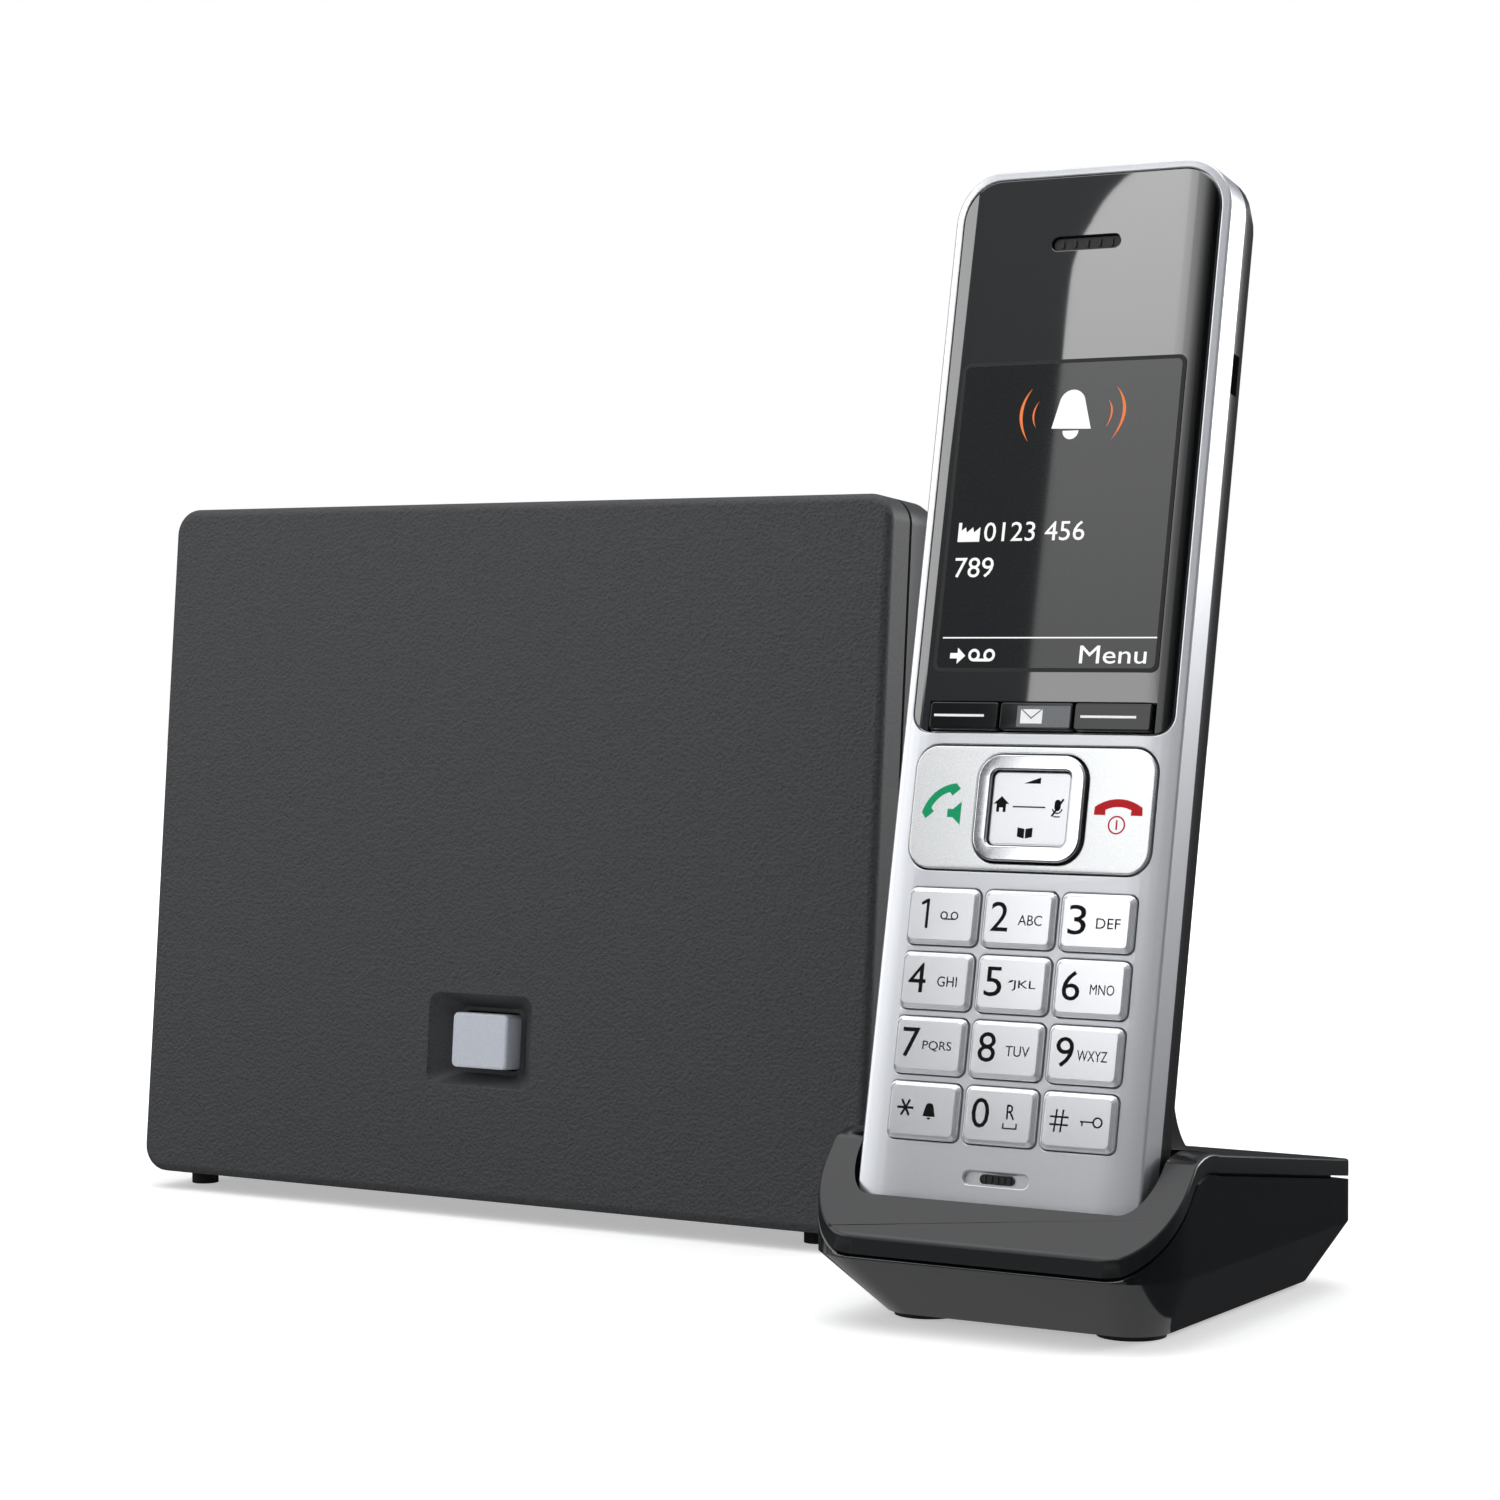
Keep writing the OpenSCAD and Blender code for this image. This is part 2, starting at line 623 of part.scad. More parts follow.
module headset_socket() color("#0f1012") handset_frame() difference() {
    union() {
        translate([headset_nose_x, headset_y, headset_z]) rotate([0, 90, 0]) cylinder(r = 2.5, h = 12.4);
        box(-18.6, -8.8, headset_y - 2.5, headset_y + 2.6, headset_z - 3.6, headset_z + 3.6);
    }
    translate([headset_nose_x - 0.8, headset_y, headset_z]) rotate([0, 90, 0]) cylinder(r = headset_r, h = 12.8);
}

module charging_pads() color("#c9a94f") handset_frame() for (s = [-1, 1])
    box(s * contact_x - 3.2, s * contact_x + 3.2, contact_y - 2.4, contact_y + 2.4, pad_z, pad_z + 0.6);

module handset_screws() color("#8d9095") handset_frame() for (s = [-1, 1]) rod_y(s * 15, 30, 0.9, 8, 15);

module vibration_motor() color("#a8abb0") handset_frame() translate([10, 10.5, 118]) cylinder(r = 2.5, h = 11);

station_front_cover();
station_rear_cover();
station_socket_panel();
station_button();
station_switch();
station_board();
station_shield_can();
station_antennas();
station_lan_socket();
station_line_socket();
station_power_socket();
station_feet();
station_screws();
cradle_top_shell();
cradle_lower_shell();
cradle_contact_left();
cradle_contact_right();
cradle_contact_holder();
cradle_board();
cradle_power_socket();
cradle_ballast();
cradle_feet();
cradle_screws();
handset_front_shell();
handset_rear_shell();
battery_cover();
display_lens();
display_module();
earpiece();
soft_key_left();
message_key();
soft_key_right();
talk_end_rocker();
nav_carrier();
nav_frame();
nav_centre();
key_1();
key_2();
key_3();
key_4();
key_5();
key_6();
key_7();
key_8();
key_9();
key_star();
key_0();
key_hash();
keypad_mat();
handset_board();
battery_cells();
battery_contacts();
loudspeaker();
microphone();
headset_socket();
charging_pads();
handset_screws();
vibration_motor();
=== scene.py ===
import math
import bmesh
import bpy
from mathutils import Matrix, Vector


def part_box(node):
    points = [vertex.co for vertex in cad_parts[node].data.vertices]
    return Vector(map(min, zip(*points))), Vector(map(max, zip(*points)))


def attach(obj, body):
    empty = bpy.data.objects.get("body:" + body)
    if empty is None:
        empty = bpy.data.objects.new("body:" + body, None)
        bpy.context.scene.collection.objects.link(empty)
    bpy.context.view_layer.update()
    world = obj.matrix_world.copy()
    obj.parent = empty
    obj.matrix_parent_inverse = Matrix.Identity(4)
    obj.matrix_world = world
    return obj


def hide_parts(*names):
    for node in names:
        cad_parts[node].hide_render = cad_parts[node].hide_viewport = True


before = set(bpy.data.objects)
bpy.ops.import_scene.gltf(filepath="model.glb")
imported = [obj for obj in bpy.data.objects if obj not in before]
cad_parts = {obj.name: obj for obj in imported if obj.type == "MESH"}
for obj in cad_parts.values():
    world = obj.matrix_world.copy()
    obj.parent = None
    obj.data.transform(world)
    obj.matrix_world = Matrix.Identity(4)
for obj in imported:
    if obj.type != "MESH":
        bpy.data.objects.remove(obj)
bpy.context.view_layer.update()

# ---- The table and the camera ----
# The set stands on a white table in a white room. The camera looks down a little from the right, and sees
# the handset's keys and the station's front. Forms are drawn in millimetres and placed by three frames.
HANDSET_LEAN = math.radians(12)
STATION_LEAN = math.radians(5)
MM = Matrix.Scale(0.001, 4)
shell_low, shell_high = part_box("handset_front_shell")
dock = Vector(((shell_low.x + shell_high.x) / 2, shell_low.y, shell_low.z + 0.006 * math.sin(HANDSET_LEAN)))
HANDSET = Matrix.Translation(dock) @ Matrix.Rotation(-HANDSET_LEAN, 4, "X") @ MM
CRADLE = Matrix.Translation((dock.x, dock.y, 0)) @ MM
cover_low, cover_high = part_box("station_front_cover")
station_foot = Vector(((cover_low.x + cover_high.x) / 2, cover_low.y - 0.0014 * math.sin(STATION_LEAN),
                       cover_low.z + 0.0064 * math.sin(STATION_LEAN)))
STATION = Matrix.Translation(station_foot) @ Matrix.Rotation(-STATION_LEAN, 4, "X") @ MM

camera = bpy.data.objects.new("camera", bpy.data.cameras.new("camera"))
bpy.context.scene.collection.objects.link(camera)
camera.data.lens = 87.13
camera.data.sensor_width = 36
azimuth, dip = math.radians(31.09), math.radians(1.67)
camera.location = dock + Vector((0.23543, -0.45662, 0.08172))
forward = Vector((-math.sin(azimuth) * math.cos(dip), math.cos(azimuth) * math.cos(dip), -math.sin(dip)))
camera.rotation_euler = forward.to_track_quat("-Z", "Y").to_euler()
bpy.context.scene.camera = camera
bpy.context.scene.view_settings.view_transform = "Standard"


def colour(code):
    """sRGB hex to the linear colour that a shader takes."""
    parts = [int(code[i:i + 2], 16) / 255 for i in (1, 3, 5)]
    return [c / 12.92 if c <= 0.04045 else ((c + 0.055) / 1.055) ** 2.4 for c in parts] + [1]


def add_node(tree, kind, settings=None, links=None):
    """One shader node with its settings and the sockets that feed it."""
    made = tree.nodes.new(kind)
    for name, value in (settings or {}).items():
        if isinstance(name, int) or name in made.inputs:
            made.inputs[name].default_value = value
        else:
            setattr(made, name, value)
    for name, source in (links or {}).items():
        tree.links.new(source, made.inputs[name])
    return made


def new_material(name):
    material = bpy.data.materials.new(name)
    material.use_nodes = True
    return material, material.node_tree, material.node_tree.nodes["Principled BSDF"]


def dressing(name, form, material, unseen_by=()):
    """Stands a floor, backdrop or panel in place, hidden from the named kinds of ray."""
    mesh = bpy.data.meshes.new(name)
    form.to_mesh(mesh)
    form.free()
    mesh.materials.append(material)
    made = bpy.data.objects.new(name, mesh)
    bpy.context.scene.collection.objects.link(made)
    for ray in unseen_by:
        setattr(made, "visible_" + ray, False)
    return made


# Near-white laminate that gives back nearly all the light, with a painted glow of its own added: it shines at 0.42
# near the set and rises to full white from 0.16 m to 0.45 m out, so the table fades into the white room; soft shadows
# show on it.
glowing_laminate, tree, shader = new_material("white table laminate with painted glow")
shader.inputs["Base Color"].default_value = colour("#f2f2f2")
shader.inputs["Roughness"].default_value = 0.75
shader.inputs["Specular IOR Level"].default_value = 0.1
shader.inputs["Emission Color"].default_value = (1, 1, 1, 1)
spot = add_node(tree, "ShaderNodeTexCoord")
reach = add_node(tree, "ShaderNodeVectorMath", {"operation": "LENGTH"}, {0: spot.outputs["Object"]})
painted_glow = add_node(tree, "ShaderNodeMapRange", {"interpolation_type": "SMOOTHSTEP", "From Min": 0.16, "From Max": 0.45,
                                             "To Min": 0.42, "To Max": 1.0}, {"Value": reach.outputs["Value"]})
# Painted glow: the table's own emitted light, weakest near the set and full white farther out.
tree.links.new(painted_glow.outputs["Result"], shader.inputs["Emission Strength"])
table_form = bmesh.new()
bmesh.ops.create_circle(table_form, cap_ends=True, segments=96, radius=3)
dressing("table_top", table_form, glowing_laminate, ("glossy",))

# White room: a dome that only the eye sees, so it neither lights the set nor shows in its gloss.
room_paint, tree, shader = new_material("white room")
glow = add_node(tree, "ShaderNodeEmission", {"Color": (1, 1, 1, 1), "Strength": 1.0})
tree.links.new(glow.outputs["Emission"], tree.nodes["Material Output"].inputs["Surface"])
room_form = bmesh.new()
bmesh.ops.create_uvsphere(room_form, u_segments=48, v_segments=24, radius=2.95)
dressing("white_room", room_form, room_paint, ("diffuse", "glossy", "transmission", "volume_scatter", "shadow"))

world = bpy.data.worlds.new("studio")
bpy.context.scene.world = world
world.use_nodes = True
background = world.node_tree.nodes["Background"]
direction = add_node(world.node_tree, "ShaderNodeTexCoord")
axes = add_node(world.node_tree, "ShaderNodeSeparateXYZ", links={"Vector": direction.outputs["Generated"]})
height = add_node(world.node_tree, "ShaderNodeMapRange", {"From Min": 0.1, "From Max": 0.7, "To Min": 0.03,
                                                              "To Max": 0.38}, {"Value": axes.outputs["Z"]})
world.node_tree.links.new(height.outputs["Result"], background.inputs["Strength"])
background.inputs["Color"].default_value = (0.95, 0.97, 1, 1)


def softbox(name, place, aim, width, height, watts):
    lamp = bpy.data.lights.new(name, "AREA")
    lamp.shape, lamp.size, lamp.size_y, lamp.energy = "RECTANGLE", width, height, watts
    holder = bpy.data.objects.new(name, lamp)
    bpy.context.scene.collection.objects.link(holder)
    holder.location = place
    holder.rotation_euler = (Vector(aim) - Vector(place)).to_track_quat("-Z", "Y").to_euler()


softbox("overhead", (-0.1, -0.05, 1.2), (-0.02, 0.02, 0.05), 1.5, 1.5, 12)
softbox("left_front", (-1.1, -0.75, 0.6), (-0.02, 0.02, 0.06), 0.7, 1.0, 5)
softbox("right_back", (0.85, 0.9, 0.42), (0.05, 0.02, 0.1), 0.5, 0.5, 9)

# A bright panel stands beside the camera for gloss alone: the glass mirrors its curved left edge, and the
# metallic faces turned the same way take their shine from it.
GLOSS_ONLY = ("camera", "diffuse", "transmission", "volume_scatter", "shadow")
camera_eye = camera.location.copy()
facing = Vector((0, -math.cos(HANDSET_LEAN), math.sin(HANDSET_LEAN)))


def arc(x, z, radius, start, stop, steps=12):
    """Points along an arc about a centre, its angles in degrees from +x towards +z."""
    return [(x + radius * math.cos(math.radians(start + (stop - start) * i / steps)),
             z + radius * math.sin(math.radians(start + (stop - start) * i / steps))) for i in range(steps + 1)]


def mirrored(x, z, reach=0.5):
    """Where the view of a point on the handset's face lands after the mirror turn, reach metres away."""
    point = HANDSET @ Vector((x, 0, z))
    ray = (point - camera_eye).normalized()
    ray -= 2 * ray.dot(facing) * facing
    middle = HANDSET @ Vector((0, 0, 110))
    main = (middle - camera_eye).normalized()
    main -= 2 * main.dot(facing) * facing
    return point + ray * ((middle + main * reach - point).dot(main) / ray.dot(main))


panel_glow, tree, shader = new_material("bright panel")
spot = add_node(tree, "ShaderNodeTexCoord")
axes = add_node(tree, "ShaderNodeSeparateXYZ", links={"Vector": spot.outputs["Object"]})
fall = add_node(tree, "ShaderNodeMapRange", {"interpolation_type": "SMOOTHSTEP", "From Min": 0.05, "From Max": 0.16,
                                             "To Min": 2.5, "To Max": 0.0}, {"Value": axes.outputs["X"]})
climb = add_node(tree, "ShaderNodeMapRange", {"From Min": -0.05, "From Max": 0.1, "To Min": 0.85, "To Max": 1.35},
                 {"Value": axes.outputs["Z"]})
power = add_node(tree, "ShaderNodeMath", {"operation": "MULTIPLY"},
                 {0: fall.outputs["Result"], 1: climb.outputs["Result"]})
glow = add_node(tree, "ShaderNodeEmission", {"Color": (1, 1, 1, 1)}, {"Strength": power.outputs["Value"]})
tree.links.new(glow.outputs["Emission"], tree.nodes["Material Output"].inputs["Surface"])
# Seen in the glass, the panel's edge climbs nearly straight and turns off in a quarter circle under the top.
EDGE = [(25, 170)] + arc(17, 138, 19, 85, 180) + [(-3, 20)]
panel_form = bmesh.new()
middle = mirrored(0, 110)
across = (mirrored(20, 110) - middle).normalized()
away = (middle - (HANDSET @ Vector((0, 0, 110)))).normalized()
upward = away.cross(across).normalized()
if upward.z < 0:
    upward = -upward
basis = Matrix((across, away, upward)).transposed().to_4x4()
basis.translation = middle
spread = [mirrored(x, z) for x, z in EDGE]
near_side = [panel_form.verts.new(basis.inverted() @ p) for p in spread]
far_side = [panel_form.verts.new((0.2, 0, v.co.z)) for v in near_side]
for i in range(len(EDGE) - 1):
    panel_form.faces.new((near_side[i], near_side[i + 1], far_side[i + 1], far_side[i]))
dressing("bright_panel", panel_form, panel_glow, GLOSS_ONLY).matrix_world = basis

# A second, on the table before the cradle's nose, shines in the polished slope above it.
low_form = bmesh.new()
low_form.faces.new([low_form.verts.new(dock + Vector((x, y, 0.0003 - dock.z)))
                    for x, y in ((-0.09, -0.09), (0.025, -0.09), (0.025, 0.013), (-0.09, 0.013))])
low_glow, tree, shader = new_material("low glow")
glow = add_node(tree, "ShaderNodeEmission", {"Color": (1, 1, 1, 1), "Strength": 0.28})
tree.links.new(glow.outputs["Emission"], tree.nodes["Material Output"].inputs["Surface"])
dressing("low_panel", low_form, low_glow, GLOSS_ONLY)


# ---- The station's two covers ----
# Two injection-moulded halves meet at a shadow gap behind the front's side band. The front is ABS with a
# spark-eroded grain, and its edges and the rear cover come out of a smoother part of the tool.
def plate(form, width, height, foot_r, head_r, depth=0.0, at=(0.0, 0.0), steps=8):
    """A flat face with rounded corners at a depth; at is the middle of its foot."""
    before = set(form.faces)
    corners = [form.verts.new((at[0] + x * width / 2, depth, at[1] + z * height))
               for x, z in ((-1, 0), (1, 0), (1, 1), (-1, 1))]
    form.faces.new(corners)
    for pair, radius in ((corners[:2], foot_r), (corners[2:], head_r)):
        bmesh.ops.bevel(form, geom=pair, offset=radius, offset_type="OFFSET", affect="VERTICES",
                        segments=steps, profile=0.5, material=-1)
    return [f for f in form.faces if f not in before][0]


def push(form, faces, depth):
    """Draws faces along the depth into a closed solid."""
    made = bmesh.ops.extrude_face_region(form, geom=faces)["geom"]
    points = [g for g in made if isinstance(g, bmesh.types.BMVert)]
    bmesh.ops.translate(form, verts=points, vec=(0, depth, 0))


def loft(form, sections, closed=False, steps=8):
    """Skins round-cornered outlines (x, z, width, height, corner, depth); closed joins the last to the first."""
    quarter = math.pi / 2
    rings = []
    for x, z, width, height, corner, depth in sections:
        ring = []
        for side_x, side_z, turn in ((1, -1, -quarter), (1, 1, 0), (-1, 1, quarter), (-1, -1, 2 * quarter)):
            mid_x, mid_z = x + side_x * (width / 2 - corner), z + side_z * (height / 2 - corner)
            ring += [form.verts.new((mid_x + corner * math.cos(turn + quarter * i / steps), depth,
                                     mid_z + corner * math.sin(turn + quarter * i / steps)))
                     for i in range(steps + 1)]
        rings.append(ring)
    for low, high in zip(rings, rings[1:] + rings[:1] if closed else rings[1:]):
        for i in range(len(low)):
            form.faces.new((low[i - 1], low[i], high[i], high[i - 1]))
    if not closed:
        form.faces.new(rings[0])
        form.faces.new(rings[-1])


def rim(x, z, width, height, corner, depth, roll, hole=False, steps=3):
    """Outlines of a rounded edge from its wall to the face, or from the face into a hole."""
    made = []
    for i in range(steps + 1):
        turn = math.pi / 2 * i / steps
        inset = roll * (1 - math.cos(turn)) * (-1 if hole else 1)
        made.append((x, z, width - 2 * inset, height - 2 * inset, corner - inset, depth + roll * (1 - math.sin(turn))))
    return made[::-1] if hole else made


def sharp_edges(form, wanted):
    """Edges between two faces that meet at an angle, with both ends where wanted says."""
    return [e for e in form.edges if len(e.link_faces) == 2 and e.calc_face_angle() > 0.4
            and all(wanted(v.co) for v in e.verts)]


def round_over(form, edges, radius, steps=3):
    bmesh.ops.bevel(form, geom=edges, offset=radius, offset_type="OFFSET", affect="EDGES", segments=steps,
                    profile=0.5, clamp_overlap=False, loop_slide=True, material=-1)


def drawn(name, form, place, body, material, nodes=(), crease=32):
    """Makes the finished piece from its form, hangs it on its body and hides the solids it stands in for."""
    bmesh.ops.transform(form, matrix=place, verts=form.verts)
    bmesh.ops.recalc_face_normals(form, faces=form.faces)
    for face in form.faces:
        face.smooth = True
    mesh = bpy.data.meshes.new(name)
    form.to_mesh(mesh)
    form.free()
    mesh.set_sharp_from_angle(angle=math.radians(crease))
    mesh.materials.append(material)
    made = bpy.data.objects.new(name, mesh)
    bpy.context.scene.collection.objects.link(made)
    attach(made, body)
    shading = made.modifiers.new("flat faces", "WEIGHTED_NORMAL")
    shading.keep_sharp, shading.weight = True, 50
    if nodes:
        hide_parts(*nodes)
    return made


def clean_copy(node, place, whole_faces=True):
    """A named solid's own skin in millimetres, with its flat faces made whole."""
    form = bmesh.new()
    form.from_mesh(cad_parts[node].data)
    form.transform(place.inverted())
    bmesh.ops.remove_doubles(form, verts=form.verts, dist=0.003)
    if whole_faces:
        bmesh.ops.dissolve_limit(form, angle_limit=math.radians(0.8), verts=form.verts, edges=form.edges)
    return form


# Grained ABS: a pebbled matt face of about half a millimetre a pebble, smooth where the edge rolls off.
grained_abs, tree, shader = new_material("grained charcoal ABS")
place = add_node(tree, "ShaderNodeTexCoord")
face_depth = add_node(tree, "ShaderNodeMapping", {"Rotation": (STATION_LEAN, 0, 0)},
                      {"Vector": place.outputs["Object"]})
turned_foot = Matrix.Rotation(STATION_LEAN, 4, "X") @ station_foot
face_depth.inputs["Location"].default_value = -turned_foot
axes = add_node(tree, "ShaderNodeSeparateXYZ", links={"Vector": face_depth.outputs["Vector"]})
on_face = add_node(tree, "ShaderNodeMapRange", {"From Min": 0.0003, "From Max": 0.0012, "To Min": 1.0, "To Max": 0.06},
                   {"Value": axes.outputs["Y"]})
pebbles = add_node(tree, "ShaderNodeTexVoronoi", {"feature": "SMOOTH_F1", "Scale": 1700, "Smoothness": 0.6},
                   {"Vector": place.outputs["Object"]})
grit = add_node(tree, "ShaderNodeTexNoise", {"Scale": 3200, "Detail": 2}, {"Vector": place.outputs["Object"]})
relief = add_node(tree, "ShaderNodeMath", {"operation": "ADD"},
                  {0: pebbles.outputs["Distance"], 1: grit.outputs["Fac"]})
raised = add_node(tree, "ShaderNodeBump", {"Distance": 0.00012},
                  {"Height": relief.outputs["Value"], "Strength": on_face.outputs["Result"]})
tone = add_node(tree, "ShaderNodeValToRGB", links={"Fac": relief.outputs["Value"]})
tone.color_ramp.elements[0].position, tone.color_ramp.elements[0].color = 0.35, colour("#292a2c")
tone.color_ramp.elements[1].position, tone.color_ramp.elements[1].color = 1.0, colour("#3a3b3d")
tree.links.new(tone.outputs["Color"], shader.inputs["Base Color"])
tree.links.new(raised.outputs["Normal"], shader.inputs["Normal"])
shader.inputs["Roughness"].default_value = 0.55
shader.inputs["IOR"].default_value = 1.5

COVER_Z, SCOOP_X, SCOOP_Z = 60.1, -1.5, 27.3
front = bmesh.new()
loft(front, [(0, COVER_Z, 149.4, 120.2, 4.6, 6.4)] + rim(0, COVER_Z, 149.4, 120.2, 4.6, 0, 1.6, steps=6)
     + rim(SCOOP_X, SCOOP_Z, 21.2, 15.6, 2, 0, 0.25, hole=True)
     + [(SCOOP_X, SCOOP_Z, *outline) for outline in ((13.4, 11.4, 1.4, 4), (12.0, 10.0, 1.2, 4),
                                                     (12.0, 10.0, 1.2, 5.6), (16.6, 14.6, 2, 5.6),
                                                     (24.4, 18.8, 3, 1.8))]
     + [(0, COVER_Z, 146.2, 117, 3.2, 1.8), (0, COVER_Z, 146.2, 117, 3.2, 6.4)], closed=True)
drawn("station_front_moulding", front, STATION, "set", grained_abs, ["station_front_cover"])


def moulded(name, light, dark, roughness, grain_mm, relief_mm, metallic=0.0, ior=1.5, coat=0.0, spread=0.04):
    """A moulded, painted or plated finish: its grain varies the colour, the gloss and the surface a little."""
    material, tree, shader = new_material(name)
    place = add_node(tree, "ShaderNodeTexCoord")
    grain = add_node(tree, "ShaderNodeTexNoise", {"Scale": 1000 / grain_mm, "Detail": 3, "Roughness": 0.6},
                     {"Vector": place.outputs["Object"]})
    tone = add_node(tree, "ShaderNodeValToRGB", links={"Fac": grain.outputs["Fac"]})
    tone.color_ramp.elements[0].position, tone.color_ramp.elements[0].color = 0.3, colour(dark)
    tone.color_ramp.elements[1].position, tone.color_ramp.elements[1].color = 0.7, colour(light)
    gloss = add_node(tree, "ShaderNodeMapRange", {"To Min": roughness - spread, "To Max": roughness + spread},
                     {"Value": grain.outputs["Fac"]})
    raised = add_node(tree, "ShaderNodeBump", {"Strength": 0.5, "Distance": relief_mm / 1000},
                      {"Height": grain.outputs["Fac"]})
    tree.links.new(tone.outputs["Color"], shader.inputs["Base Color"])
    tree.links.new(gloss.outputs["Result"], shader.inputs["Roughness"])
    tree.links.new(raised.outputs["Normal"], shader.inputs["Normal"])
    shader.inputs["Metallic"].default_value = metallic
    if not metallic:
        shader.inputs["IOR"].default_value = ior
    if coat:
        shader.inputs["Coat Weight"].default_value = coat
        shader.inputs["Coat Roughness"].default_value = 0.06
    return material


# Charcoal ABS off a fine-blasted tool: a little smoother and darker than the face.
blasted_abs = moulded("blasted charcoal ABS", "#3c3d3f", "#343537", 0.42, 0.35, 0.01)
rear = clean_copy("station_rear_cover", STATION, whole_faces=False)
round_over(rear, sharp_edges(rear, lambda p: p.y > 33.9 and (abs(p.x) > 68 or p.z < 6 or p.z > 114)), 0.8, 3)
drawn("station_rear_moulding", rear, STATION, "set", blasted_abs, ["station_rear_cover"])

# The rear cover's tongue closes the shadow gap between the two halves.
tongue = bmesh.new()
loft(tongue, [(0, COVER_Z, *outline) for outline in ((145.2, 116, 2.6, 4.6), (145.2, 116, 2.6, 9.2),
                                                     (143.6, 114.4, 1.8, 9.2), (143.6, 114.4, 1.8, 4.6))],
     closed=True)
drawn("station_gap_tongue", tongue, STATION, "set", blasted_abs)


def finish_nodes(material, *names):
    """Gives named solids their finish as they stand."""
    for name in names:
        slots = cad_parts[name].data.materials
        if len(slots):
            for i in range(len(slots)):
                slots[i] = material
        else:
            slots.append(material)


finish_nodes(blasted_abs, "station_socket_panel")

# ---- The station's insides ----
# A green circuit board with shield cans, bent strip antennas, three sockets and a push switch is screwed
# to the front cover's posts. Little of it shows, through the sockets' holes.
black_pa = moulded("black moulded nylon", "#161618", "#0e0e10", 0.42, 0.4, 0.006)
finish_nodes(black_pa, "station_switch", "station_line_socket", "station_power_socket")
solder_mask = moulded("green solder mask", "#2a6b41", "#1b4f2e", 0.3, 1.6, 0.01, coat=0.3)
finish_nodes(solder_mask, "station_board")
tinned = moulded("tinned sheet steel", "#c9cbcd", "#aeb1b4", 0.3, 0.6, 0.004, metallic=1.0)
finish_nodes(tinned, "station_shield_can", "station_antennas", "station_lan_socket")
zinc = moulded("zinc-plated screw steel", "#a2a5a8", "#83868a", 0.34, 0.5, 0.004, metallic=1.0)
finish_nodes(zinc, "station_screws")

# ---- The pairing button ----
# A light grey ABS cap with eased edges, flush with the face at the bottom of its scoop. It slides on two
# skirts against the push switch.
grey_abs = moulded("light grey satin ABS", "#bfc3cc", "#b4b8c1", 0.38, 0.4, 0.004)
cap = bmesh.new()
loft(cap, rim(SCOOP_X, SCOOP_Z, 11.4, 9.4, 1, 0, 0.5, steps=4)[::-1]
     + [(SCOOP_X, SCOOP_Z, *outline) for outline in ((11.4, 9.4, 1, 6.6), (9.0, 7.0, 0.6, 6.6), (9.0, 7.0, 0.6, 1.2))])
drawn("station_button_cap", cap, STATION, "station_button", grey_abs, ["station_button"])

# ---- The feet ----
# Round pads of black thermoplastic rubber under the station and the cradle, matt from their moulds.
rubber = moulded("black rubber", "#1c1c1e", "#131315", 0.75, 0.5, 0.02)
finish_nodes(rubber, "station_feet", "cradle_feet")

# ---- The cradle's lid ----
# One satin black moulding: a collar that slopes up round the handset's foot, a ridge, and a deck that falls
# to the back, with a concave backrest. Its rim is rounded over in the same satin finish, and the walls below it are
# polished.
satin_black = moulded("satin black ABS", "#15171a", "#111315", 0.33, 0.3, 0.002, coat=0.12)


ON_WALL = 0.06


def on_rim(p, x=29, front=-5.7, back=70, r=9.5):
    """Whether a point lies on the cradle's upright outer walls."""
    if abs(p.x) > x - r and p.y < front + r:
        return math.hypot(abs(p.x) - x + r, p.y - front - r) > r - ON_WALL
    if abs(p.x) > x - r and p.y > back - r:
        return math.hypot(abs(p.x) - x + r, p.y - back + r) > r - ON_WALL
    return abs(p.x) > x - ON_WALL or p.y < front + ON_WALL or p.y > back - ON_WALL


lid = clean_copy("cradle_top_shell", CRADLE)
top_rim = [e for e in sharp_edges(lid, on_rim) if any(f.normal.z > 0.3 for f in e.link_faces)]
round_over(lid, top_rim, 0.35, 3)
drawn("cradle_lid", lid, CRADLE, "set", satin_black, ["cradle_top_shell"])

# ---- The cradle's tub ----
# The lower shell, moulded in the same black ABS but polished on its sides. It draws in to a smaller foot
# below the waist, holds a steel weight and is screwed to the lid from below.
polished_black = moulded("polished black ABS", "#101214", "#0c0e10", 0.16, 0.3, 0.001, coat=0.8, spread=0.02)
tub = clean_copy("cradle_lower_shell", CRADLE)
drawn("cradle_tub", tub, CRADLE, "set", polished_black, ["cradle_lower_shell"])

# The tub's tongue stands up behind the seam under the lid and closes it to light.
lip = clean_copy("cradle_lower_shell", CRADLE)
bmesh.ops.scale(lip, verts=lip.verts, vec=(0.93, 0.93, 1), space=Matrix.Translation((0, -32, 0)))
bmesh.ops.translate(lip, verts=lip.verts, vec=(0, 0, 0.8))
drawn("cradle_seam_tongue", lip, CRADLE, "set", black_pa)
gold = moulded("gold-plated spring bronze", "#d3b25c", "#bd9a45", 0.25, 0.4, 0.002, metallic=1.0)
finish_nodes(gold, "cradle_contact_left", "cradle_contact_right", "charging_pads")
finish_nodes(black_pa, "cradle_contact_holder", "cradle_power_socket")
finish_nodes(solder_mask, "cradle_board")
cast = moulded("plain cast steel", "#85898d", "#6e7276", 0.5, 1.2, 0.02, metallic=1.0)
finish_nodes(cast, "cradle_ballast")
finish_nodes(zinc, "cradle_screws", "handset_screws")

# ---- The handset's shells ----
# The front is ABS sprayed with fine metallic silver; its edge rolls over into a bright side band. The rear
# shell behind the band is satin black, with the belt clip's notches, the ringer's grille and the battery door.
silver_paint = moulded("fine metallic silver paint", "#e0e2e6", "#d7d9de", 0.33, 0.12, 0.001, metallic=0.8)


